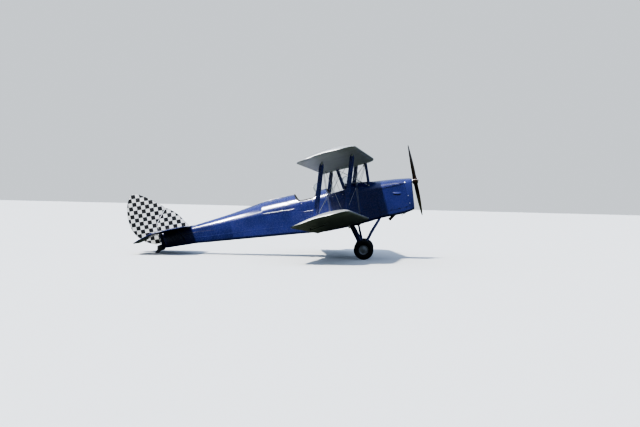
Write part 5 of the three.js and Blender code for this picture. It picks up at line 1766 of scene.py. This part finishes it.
for cockpit in COCKPITS:
    name, seat = cockpit["name"], cockpit["seat"]
    bm = copied(name + "_seat", 1.0)
    closed_piece(bm, name + "_seat_bucket", AIRFRAME, seat_metal, "steel", [name + "_seat"],
                 rim=0.006)
    pan = Vector((seat + 0.195, 0, -0.368))
    pan_turn = Matrix.Rotation(math.radians(-3.4), 4, "Y")
    cushion(name + "_seat_cushion", pan, (0.315, 0.350, 0.062), pan_turn)
    back = Vector((seat + 0.030, 0, -0.155))
    back_turn = Matrix.Rotation(math.radians(82.9), 4, "Y")
    cushion(name + "_back_cushion", back, (0.300, 0.340, 0.050), back_turn)
    bm = bmesh.new()
    for sign in SIDES.values():
        shoulder = [(seat - 0.075, sign * 0.075, 0.075), (seat - 0.045, sign * 0.078, 0.085),
                    (seat - 0.010, sign * 0.085, 0.070), (seat + 0.050, sign * 0.090, 0.000),
                    (seat + 0.075, sign * 0.092, -0.100), (seat + 0.085, sign * 0.088, -0.200),
                    (seat + 0.105, sign * 0.075, -0.290), (seat + 0.150, sign * 0.050, -0.325)]
        strap(bm, even([Vector(p) for p in shoulder], 0.02), 0.042)
        lap = [(seat + 0.060, sign * 0.206, -0.430), (seat + 0.075, sign * 0.208, -0.370),
               (seat + 0.100, sign * 0.190, -0.325), (seat + 0.150, sign * 0.110, -0.318),
               (seat + 0.165, sign * 0.030, -0.322)]
        strap(bm, even([Vector(p) for p in lap], 0.02), 0.045, across=Vector((1, 0, 0.2)))
    closed_piece(bm, name + "_harness", AIRFRAME, webbing, "seat_leather")
    bm = bmesh.new()
    lathe(bm, ((0, 0.014), (0.020, 0.013), (0.028, 0.008), (0.030, 0.0), (0.030, -0.006),
               (0, -0.006)), (seat + 0.165, 0, -0.315), (0.15, 0, 1), 24)
    for sign in SIDES.values():
        slab(bm, (seat + 0.083, sign * 0.090, -0.190), (0.010, 0.052, 0.030), bevel=0.002)
    closed_piece(bm, name + "_harness_buckles", AIRFRAME, steel, "steel")

# Each windscreen is three flat panes of clear sheet in a folded metal frame, screwed to the deck
# through a flange with a rubber strip.
clear_sheet = finish("windscreen_glass", (0.93, 0.96, 0.97), 0.04, transmission_weight=1.0,
                     ior=1.49, specular_ior_level=0.5)
frame_metal = plain_metal("windscreen_frame", (0.58, 0.59, 0.60), 0.28, 1.0, 0.25)
SCREENS = (("front", -1.545, 0.480), ("rear", -2.300, 0.460))
SCREEN_LEAN, LEAN_FROM = -0.35, 0.25
for name, x, top in SCREENS:
    plan = [(x - 0.150, -0.205), (x, -0.110), (x, 0.110), (x - 0.150, 0.205)]

    def spot(u, height):
        """A point on the screen: u runs over its three panes, height from the deck to its top."""
        i = min(int(u), 2)
        (x0, y0), (x1, y1) = plan[i], plan[i + 1]
        t = u - i
        foot_x, foot_y = x0 + (x1 - x0) * t, y0 + (y1 - y0) * t
        outer = max(abs(u - 1.5) - 0.5, 0)
        crest = top - 0.004 - 0.075 * outer**2.2
        low = 0.2
        for _ in range(6):
            deck, _ = on_deck(foot_x + SCREEN_LEAN * (low - LEAN_FROM) - 0.003, foot_y)
            low = deck.z if deck else low
        z = low + 0.002 + (crest - low) * height
        return Vector((foot_x + SCREEN_LEAN * (z - LEAN_FROM) - 0.003, foot_y, z))

    bm = bmesh.new()
    for pane in range(3):
        rows = []
        for i in range(9):
            u = pane + 0.012 + 0.976 * i / 8
            low, high = spot(u, 0.0), spot(u, 0.985)
            rows.append([low + Vector((0.0014, 0, 0)), high + Vector((0.0014, 0, 0)),
                         high - Vector((0.0014, 0, 0)), low - Vector((0.0014, 0, 0))])
        skin(bm, rows)
    closed_piece(bm, name + "_windscreen_panes", AIRFRAME, clear_sheet, "windscreen_glass",
                 [name + "_windscreen"], smooth=20)
    bm = bmesh.new()
    edge = [spot(3 * i / 48, 1.0) for i in range(49)]
    rod(bm, [spot(0, 0.0), spot(0, 0.5)] + edge + [spot(3, 0.5), spot(3, 0.0)], 0.0048, 8, 0.7)
    foot = [spot(3 * i / 48, 0.0) + Vector((0, 0, 0.003)) for i in range(49)]
    rod(bm, foot, 0.0075, 8, 0.55, UP)
    for u in (1, 2):
        rod(bm, [spot(u, 0.0), spot(u, 0.5), spot(u, 1.0)], 0.0045, 8)
    for u in (0.15, 0.5, 0.85, 1.15, 1.5, 1.85, 2.15, 2.5, 2.85):
        base = spot(u, 0.0)
        deck, normal = on_deck(base.x + 0.013, base.y)
        lathe(bm, ((0, 0.0022), (0.003, 0.002), (0.0042, 0.0), (0.0042, -0.002), (0, -0.002)),
              deck + normal * 0.0018, normal, 8)
    closed_piece(bm, name + "_windscreen_frame", AIRFRAME, frame_metal, "steel", smooth=40)

# The engine is an inverted four-cylinder in line: a cast crankcase on top, finned iron barrels
# with alloy heads hanging below it, and square steel bearers back to the firewall.
alloy = plain_metal("crankcase_alloy", (0.30, 0.31, 0.31), 0.48, 0.7, 0.5)
black_iron = plain_metal("engine_iron", (0.028, 0.028, 0.029), 0.5, 0.5, 0.5)
CYLINDERS = (-0.360, -0.520, -0.680, -0.840)
bm = bmesh.new()
case_rings = []
for x, half, low, high in ((-0.236, 0.050, -0.062, 0.030), (-0.262, 0.066, -0.085, 0.034),
                           (-0.300, 0.088, -0.145, 0.038), (-0.900, 0.090, -0.145, 0.038),
                           (-0.925, 0.080, -0.135, 0.032)):
    ring = []
    for t in turns(28):
        across = math.copysign(abs(math.cos(t)) ** 0.6, math.cos(t))
        up = math.copysign(abs(math.sin(t)) ** 0.6, math.sin(t))
        ring.append((x, across * half, (high + low) / 2 + up * (high - low) / 2))
    case_rings.append(ring)
skin(bm, case_rings)
slab(bm, (-0.60, 0, 0.036), (0.56, 0.120, 0.010), bevel=0.003)
slab(bm, (-0.60, 0, -0.146), (0.60, 0.190, 0.014), bevel=0.003)
for i in range(12):
    for side in SIDES.values():
        lathe(bm, ((0, 0.006), (0.005, 0.006), (0.006, 0.0), (0.006, -0.004), (0, -0.004)),
              (-0.335 - 0.048 * i, side * 0.052, 0.042), UP, 6)
        slab(bm, (-0.335 - 0.048 * i, side * 0.089, -0.060), (0.007, 0.012, 0.120), bevel=0.002)
for x in CYLINDERS:
    lathe(bm, ((0, -0.392), (0.070, -0.392), (0.070, -0.400), (0.060, -0.402), (0.060, -0.412),
               (0.071, -0.414), (0.071, -0.422), (0.060, -0.424), (0.060, -0.434), (0.071, -0.436),
               (0.071, -0.444), (0.058, -0.446), (0.058, -0.470), (0, -0.470)), (x, 0, 0),
          UP, 28)
    slab(bm, (x, 0, -0.495), (0.086, 0.132, 0.052), bevel=0.014)
    for side in SIDES.values():
        lathe(bm, ((0, 0.010), (0.004, 0.010), (0.004, 0.0), (0, 0)), (x, side * 0.045, -0.521),
              (0, 0, -1), 6)
closed_piece(bm, "crankcase", AIRFRAME, alloy, "engine_iron", ["engine_block"], smooth=35)
bm = bmesh.new()
for x in CYLINDERS:
    profile = [(0, -0.150), (0.056, -0.150)]
    for i in range(15):
        z = -0.160 - 0.0155 * i
        profile += [(0.052, z), (0.069, z - 0.004), (0.069, z - 0.007), (0.052, z - 0.011)]
    lathe(bm, profile + [(0.052, -0.392), (0, -0.392)], (x, 0, 0), UP, 28)
for x in (CYLINDERS[0] + 0.035, CYLINDERS[-1] - 0.02):
    slab(bm, (x, 0, -0.185), (0.030, 0.330, 0.020), bevel=0.004)
for side in SIDES.values():
    rod(bm, [(-0.330, side * 0.175, -0.200), (-1.036, side * 0.175, -0.200)], 0.022, 4)
    rod(bm, [(-0.560, side * 0.175, -0.215), (-1.036, side * 0.175, -0.520)], 0.012, 10)
    magneto = Vector((-0.945, side * 0.055, -0.075))
    lathe(bm, ((0, 0.050), (0.030, 0.050), (0.036, 0.040), (0.036, -0.030), (0.028, -0.040),
               (0, -0.040)), magneto, (1, 0, 0), 20)
    for i, x in enumerate(CYLINDERS):
        plug = Vector((x + 0.012, side * 0.069, -0.448))
        lathe(bm, ((0, 0.030), (0.006, 0.028), (0.009, 0.010), (0.009, -0.004), (0, -0.004)), plug,
              (0, side, -0.25), 10)
        lead = plug + Vector((0, side * 0.028, -0.007))
        rail = Vector((x + 0.012, side * 0.112, -0.165 - 0.006 * i))
        end = Vector((-0.915, side * 0.104, -0.150 - 0.006 * i))
        rod(bm, [lead, lead.lerp(rail, 0.3) + Vector((0, side * 0.014, 0)), rail,
                 rail.lerp(end, 0.5), end, magneto + Vector((-0.01, side * 0.03, 0.0))], 0.0038, 8)
closed_piece(bm, "cylinders_and_leads", AIRFRAME, black_iron, "engine_iron", smooth=35)

# Sheet and cast pipes: the inlet trunk to port, and to starboard the exhaust, which leaves
# below the cowling. Its heat has browned it and burnt off its paint.
burnt = finish("burnt_steel", (0.060, 0.046, 0.038), 0.62, metallic=0.6)
point = datum_point(burnt)
scale = noise(burnt, point, 34, 6, 0.7)
into(burnt, "Base Color", blend_colours(burnt, ramp(burnt, scale, 0.4, 0.7), (0.045, 0.038, 0.034),
                                        (0.135, 0.070, 0.038)))
into(burnt, "Roughness", ramp(burnt, scale, 0.3, 0.7, 0.5, 0.8))
into(burnt, "Normal", bump(burnt, scale, 0.0008))
bm = bmesh.new()
for x in CYLINDERS:
    rod(bm, [(x - 0.02, -0.055, -0.480), (x - 0.02, -0.100, -0.486), (x - 0.028, -0.128, -0.505),
             (x - 0.040, -0.134, -0.532)], 0.019, 14)
rod(bm, [(-0.335, -0.134, -0.540), (-0.60, -0.134, -0.545), (-0.90, -0.134, -0.545)], 0.026, 16)
closed_piece(bm, "exhaust_manifold", AIRFRAME, burnt, "steel", smooth=50)
piece(copied("exhaust_outlet"), "exhaust_pipe", AIRFRAME, burnt, "steel", ["exhaust_outlet"],
      smooth=40, rim=0.001)
bm = bmesh.new()
for x in CYLINDERS:
    rod(bm, [(x + 0.02, 0.055, -0.480), (x + 0.02, 0.105, -0.484), (x + 0.02, 0.140, -0.470)],
        0.016, 14)
rod(bm, [(-0.335, 0.150, -0.462), (-0.84, 0.150, -0.462)], 0.024, 16)
slab(bm, (-0.60, 0.172, -0.400), (0.10, 0.060, 0.080), bevel=0.012)
rod(bm, [(-0.60, 0.150, -0.455), (-0.60, 0.165, -0.425)], 0.026, 16)
closed_piece(bm, "inlet_manifold", AIRFRAME, alloy, "engine_iron", smooth=50)

bright_metal = plain_metal("bright_metal", (0.86, 0.86, 0.87), 0.30, 1.0, 0.1)

# The nose: wire gauze behind the air intake, a small drain scoop below, pressed louvres, and
# the turn buttons and toggles that hold the panels shut.
intake_tree = joined_tree(["nose_cowl"])


def front_of(y, z):
    """How far forward the nose's skin is at this place."""
    place, _, _, _ = intake_tree.ray_cast(Vector((0.5, y, z)), Vector((-1, 0, 0)))
    return place.x if place else -9.0


INTAKE_Y, INTAKE_Z = 0.070, -0.330
NOSE_SKIN = front_of(-0.110, INTAKE_Z)
GAUZE_X = NOSE_SKIN - 0.013


def gaps(fixed, upright, step=0.002):
    """The open stretch along one line across the nose's air intake."""
    start = INTAKE_Z if upright else INTAKE_Y
    ends = []
    for way in (-step, step):
        count = 0
        while count < 120 and front_of(*(
                (fixed, start + way * count) if upright else (start + way * count, fixed))
        ) < NOSE_SKIN - 0.03:
            count += 1
        ends.append(start + way * count)
    wide = ends[1] - ends[0]
    return ends if 2 * step < wide < 0.36 else None


bm = bmesh.new()
for i in range(46):
    z = -0.500 + 0.0075 * i
    run = gaps(z, False)
    if run:
        rod(bm, [(GAUZE_X, run[0] - 0.006, z), (GAUZE_X, run[1] + 0.006, z)], 0.0011, 5)
for i in range(50):
    y = -0.110 + 0.0075 * i
    run = gaps(y, True)
    if run:
        rod(bm, [(GAUZE_X - 0.002, y, run[0] - 0.006), (GAUZE_X - 0.002, y, run[1] + 0.006)],
            0.0011, 5)
closed_piece(bm, "intake_gauze", AIRFRAME, dark_steel, "steel")


def louvre(bm, side, front, rear, high, proud):
    """A pressed louvre: its long lip stands out and opens downwards."""
    steps = 14
    rows = []
    for i in range(steps + 1):
        t = i / steps
        x = front[0] + (rear[0] - front[0]) * t
        z = front[1] + (rear[1] - front[1]) * t
        swell = max(math.sin(math.pi * t), 0.0) ** 0.45
        top, normal = on_side(x, z + high / 2, side, -0.0008)
        low, _ = on_side(x, z - high / 2 * swell, side, -0.0008)
        lip = low + normal * (proud * swell + 0.0012)
        middle = top.lerp(lip, 0.55) + normal * proud * 0.35 * swell
        under = lip - normal * (proud * 0.92 * swell + 0.0005) + Vector((0, 0, 0.004 * swell))
        rows.append([top, middle, lip, lip + Vector((0, 0, 0.0022)), under])
    skin(bm, rows)


bm = bmesh.new()
louvre(bm, -1, (-0.393, -0.229), (-0.597, -0.184), 0.055, 0.021)
closed_piece(bm, "starboard_louvre", "side_cowl_right", blue_enamel, "blue_enamel", smooth=50)
# Under the starboard louvre's lip a thin near-black strip is painted shade for its opening.
bm = bmesh.new()
mouth = [on_side(x, z, -1, 0.0012)[0] for x, z in
         zip(evenly(-0.408, -0.174, 12), evenly(-0.252, 0.038, 12))]
strap(bm, mouth, 0.026, 0.0016, UP)
closed_piece(bm, "starboard_louvre_mouth", "side_cowl_right", painted_gap_shade, "blue_enamel")
bm = bmesh.new()
for i in range(6):
    louvre(bm, 1, (-0.560 - 0.070 * i, -0.400), (-0.615 - 0.070 * i, -0.400), 0.030, 0.013)
    louvre(bm, 1, (-0.560 - 0.070 * i, -0.470), (-0.615 - 0.070 * i, -0.470), 0.030, 0.013)
closed_piece(bm, "port_louvres", "side_cowl_left", blue_enamel, "blue_enamel", smooth=50)
for side, sign in SIDES.items():
    fixed, moving = bmesh.new(), bmesh.new()
    for x, z, size in ((-0.240, 0.004, 1.6), (-0.279, -0.115, 1.5), (-0.232, -0.330, 1),
                       (-0.232, -0.520, 1)):
        place, normal = on_side(x, z, sign)
        button = moving if x < -0.262 else fixed
        lathe(button, [(out * size, along * size) for out, along in
                       ((0, 0.005), (0.006, 0.0045), (0.012, 0.003), (0.013, -0.001), (0, -0.001))],
              place, normal, 16)
        turn = turned_to(normal)
        slab(button, place + normal * 0.0055 * size, (0.018 * size, 0.004, 0.003), turn,
             bevel=0.001)
    for x in (-0.330, -0.520, -0.720, -0.930):
        place, normal = on_side(x, -0.572, sign)
        turn = turned_to(normal)
        slab(moving, place + normal * 0.003, (0.030, 0.044, 0.005), turn, bevel=0.002)
        rod(moving, [place + normal * 0.006 + Vector((0.012, 0, 0.020)),
                     place + normal * 0.009 + Vector((0.012, 0, -0.010)),
                     place + normal * 0.009 + Vector((-0.012, 0, -0.010)),
                     place + normal * 0.006 + Vector((-0.012, 0, 0.020))], 0.0022, 8)
    for bm, body, name, paint, kind in (
            (fixed, AIRFRAME, "nose_buttons_", bright_metal, "steel"),
            (moving, "side_cowl_" + side, "cowl_toggles_", blue_enamel, "blue_enamel")):
        closed_piece(bm, name + side, body, paint, kind)
bm = bmesh.new()
hood = []
keel = body_tree.ray_cast(Vector((-0.400, 0, -2)), UP)[0].z
for i in range(7):
    t = i / 6
    ring = []
    for inner in (0, 1):
        for j in range(9) if not inner else range(8, -1, -1):
            a = math.pi * j / 8
            wide = (0.040 - 0.002 * inner) * (0.45 + 0.55 * t)
            deep = (0.036 - 0.002 * inner) * (0.15 + 0.85 * t)
            ring.append((-0.350 - 0.095 * t, math.cos(a) * wide, keel + 0.006 - math.sin(a) * deep))
    hood.append(ring)
skin(bm, hood)
rod(bm, [(-0.47, 0.035, keel + 0.04), (-0.472, 0.035, keel - 0.03), (-0.482, 0.035, keel - 0.052)],
    0.006, 10)
closed_piece(bm, "drain_scoop", AIRFRAME, dark_steel, "steel", smooth=50)

# Small fittings on the body: the oil tank's cap and straps, the root brackets of the legs, a
# beading where ply meets fabric, and the locker's turn button.
bm = bmesh.new()
for x in (-1.150, -1.390):
    centre_y = 0.340 + 0.020 * (-1.07 - x) / 0.40
    band = [(x, centre_y + math.cos(a) * 0.0625, -0.190 + math.sin(a) * 0.1275)
            for a in [math.radians(d) for d in range(-84, 85, 7)]]
    rod(bm, band, 0.014, 6, 0.12)
lathe(bm, ((0, 0.030), (0.020, 0.030), (0.026, 0.024), (0.026, 0.006), (0.018, 0.004),
           (0.018, -0.02), (0, -0.02)), (-1.130, 0.343, -0.066), (0, 0.12, 1), 20)
rod(bm, [(-1.40, 0.392, -0.255), (-1.48, 0.385, -0.262), (-1.53, 0.340, -0.262)], 0.007, 10)
for sign in SIDES.values():
    slab(bm, (-1.805, sign * 0.315, -0.765), (0.085, 0.012, 0.085), bevel=0.003)
    lathe(bm, ((0, 0.012), (0.010, 0.010), (0.013, 0.0), (0.013, -0.01), (0, -0.01)),
          (-1.805, sign * 0.322, -0.785), (0, sign, 0), 12)
closed_piece(bm, "body_fittings", AIRFRAME, bright_metal, "steel")
bm = bmesh.new()
for sign in SIDES.values():
    path = [on_side(x, z, sign, 0.004)[0] for x, z in
            zip(evenly(-3.045, -0.80, 20), evenly(-0.052, 0.050, 20))]
    rod(bm, path, 0.0075, 6, 0.35, UP)
    path = [on_side(x, z, sign, 0.0004)[0] for x, z in
            zip(evenly(-3.100, -3.05, 40), evenly(-0.445, 0.275, 40))]
    rod(bm, path, 0.012, 6, 0.12, UP)
closed_piece(bm, "body_beadings", AIRFRAME, blue_dope, "blue_dope", smooth=60)
lid_joint = next(joint for joint in frame["joints"] if joint["name"] == "locker_lid_lift")
lid_hinge = DATUM.inverted() @ Vector(lid_joint["pos_m"])
free_side = -1 if lid_hinge.y > -0.1 else 1
lid_box = copied("locker_lid")
lid_x = [vert.co.x for vert in lid_box.verts]
lid_free = min(lid_box.verts, key=lambda v: v.co.y * free_side * -1).co.copy()
lid_box.free()
bm = bmesh.new()
for share in (0.25, 0.75):
    x = min(lid_x) + (max(lid_x) - min(lid_x)) * share
    place, normal = on_side(x, lid_free.z + 0.030, free_side)
    turn = turned_to(normal)
    lathe(bm, ((0, 0.0045), (0.008, 0.004), (0.013, 0.002), (0.013, -0.001), (0, -0.001)), place,
          normal, 16)
    slab(bm, place + normal * 0.005, (0.006, 0.024, 0.004), turn, bevel=0.0015)
closed_piece(bm, "locker_buttons", "locker_lid", steel, "steel")

# Beside the body each lower wing carries a walkway of ribbed black rubber on ply, and outboard
# the aileron's push rod comes out of the wing below to a horn.
tread = finish("walkway_rubber", (0.020, 0.020, 0.021), 0.75)
for side, sign in SIDES.items():
    bm = bmesh.new()
    for row in range(19):
        y = 0.372 + 0.0125 * row
        lines = [[], []]
        for back in evenly(0.10, 0.60, 24):
            for k, lift in ((0, 0.0005), (1, 0.0035)):
                a = wing_point(LOWER, y, back, 1) + Vector((0, 0, lift))
                lines[k].append(a)
        rows = []
        for low, high in zip(*lines):
            rows.append([Vector((p.x, (p.y + off) * sign, p.z)) for p, off in
                         ((low, 0.0), (low, 0.0085), (high, 0.0065), (high, 0.0020))])
        skin(bm, rows)
    closed_piece(bm, "walkway_" + side, AIRFRAME, tread, "engine_iron")
    start = wing_point(LOWER, 2.560, 0.60, -1) + Vector((0, 0, 0.006))
    horn_root = wing_point(LOWER, 2.560, 0.855, -1)
    horn = horn_root + Vector((-0.004, 0, -0.040))
    start, horn, horn_root = (Vector((p.x, p.y * sign, p.z)) for p in (start, horn, horn_root))
    stretched("aileron_rod_" + side, start + Vector((0, 0, -0.022)), horn, "aileron_" + side,
              0.0055)
    bm = bmesh.new()
    slab(bm, horn_root + Vector((-0.002, 0, -0.022)), (0.030, 0.006, 0.056), bevel=0.002)
    closed_piece(bm, "aileron_horn_" + side, "aileron_" + side, dark_steel, "steel")
    bm = bmesh.new()
    lathe(bm, ((0, 0.006), (0.070, 0.004), (0.080, 0.0), (0.080, -0.004), (0, -0.004)),
          start + Vector((0, 0, -0.008)), (0, 0, -1), 32)
    slab(bm, start + Vector((0, 0, -0.020)), (0.050, 0.018, 0.010), bevel=0.003)
    closed_piece(bm, "aileron_bellcrank_cover_" + side, AIRFRAME, silver_dope, "silver_dope")

# The airspeed head: two fine brass tubes held ahead of the port front strut, with their lines.
low, high = wing_place(LOWER, 0.0, STRUT_Y, 0.07), wing_place(UPPER, 0.0, STRUT_Y, -0.07)
mast = low.lerp(high, 0.60) + Vector((0.045, 0, 0))
bm = bmesh.new()
slab(bm, mast + Vector((-0.012, 0, 0)), (0.030, 0.034, 0.050), bevel=0.004)
for rise, reach_ahead in ((0.012, 0.165), (-0.012, 0.150)):
    tip_at = mast + Vector((reach_ahead, 0, rise))
    rod(bm, [mast + Vector((0, 0, rise)), mast.lerp(tip_at, 0.5) + Vector((0, 0, rise * 0.5)),
             tip_at], 0.0048, 12)
for along_y in (0.008, -0.008):
    drop = low.lerp(high, 0.06) + Vector((0.044, along_y, 0))
    rod(bm, [mast + Vector((-0.004, along_y, -0.02)), mast.lerp(drop, 0.5), drop], 0.0030, 8)
closed_piece(bm, "airspeed_head", AIRFRAME, brass, "steel")

# Behind every shut line the body carries a landing strip, so no daylight shows round the doors
# and the cowling's side panels.
COWL_LANDING, DOOR_LANDING = 0.017, 0.037
bm = bmesh.new()
for sign in SIDES.values():
    def landing(edge, asked, upright, depth):
        """One strip along an edge: its places, and where the skin beside them is asked for."""
        points = []
        for (x, z), (near_x, near_z) in zip(edge, asked):
            place, _ = on_side(near_x, near_z, sign)
            points.append(Vector((x, place.y - sign * depth, z)))
        strap(bm, points, 0.036, 0.002, Vector((1, 0, 0)) if upright else UP)

    heights = evenly(-0.600, 0.590, 16)
    for x, beside in ((-0.2585, -0.276), (-0.9965, -0.980)):
        landing([(x, z) for z in heights], [(beside, min(max(z, -0.585), -0.03)) for z in heights],
                True, COWL_LANDING)
    reach_x = evenly(-0.262, -0.732, 16)
    beside_x = evenly(-0.276, -0.704, 16)
    for z, beside in ((-0.6035, -0.588), (-0.0065, -0.030)):
        landing([(x, z) for x in reach_x], [(x, beside) for x in beside_x], False, COWL_LANDING)
    for cockpit in COCKPITS:
        ahead, behind = cockpit["door"]
        heights = evenly(-0.185, 0.265, 12)
        for x, beside in ((ahead - 0.0035, ahead + 0.014), (behind + 0.0035, behind - 0.014)):
            landing([(x, z) for z in heights], [(beside, z) for z in heights], True, DOOR_LANDING)
        reach_x = evenly(ahead, behind - ahead, 12)
        landing([(x, -0.1715) for x in reach_x], [(x, -0.190) for x in reach_x], False,
                DOOR_LANDING)
closed_piece(bm, "landing_strips", AIRFRAME, blue_enamel, "blue_enamel")
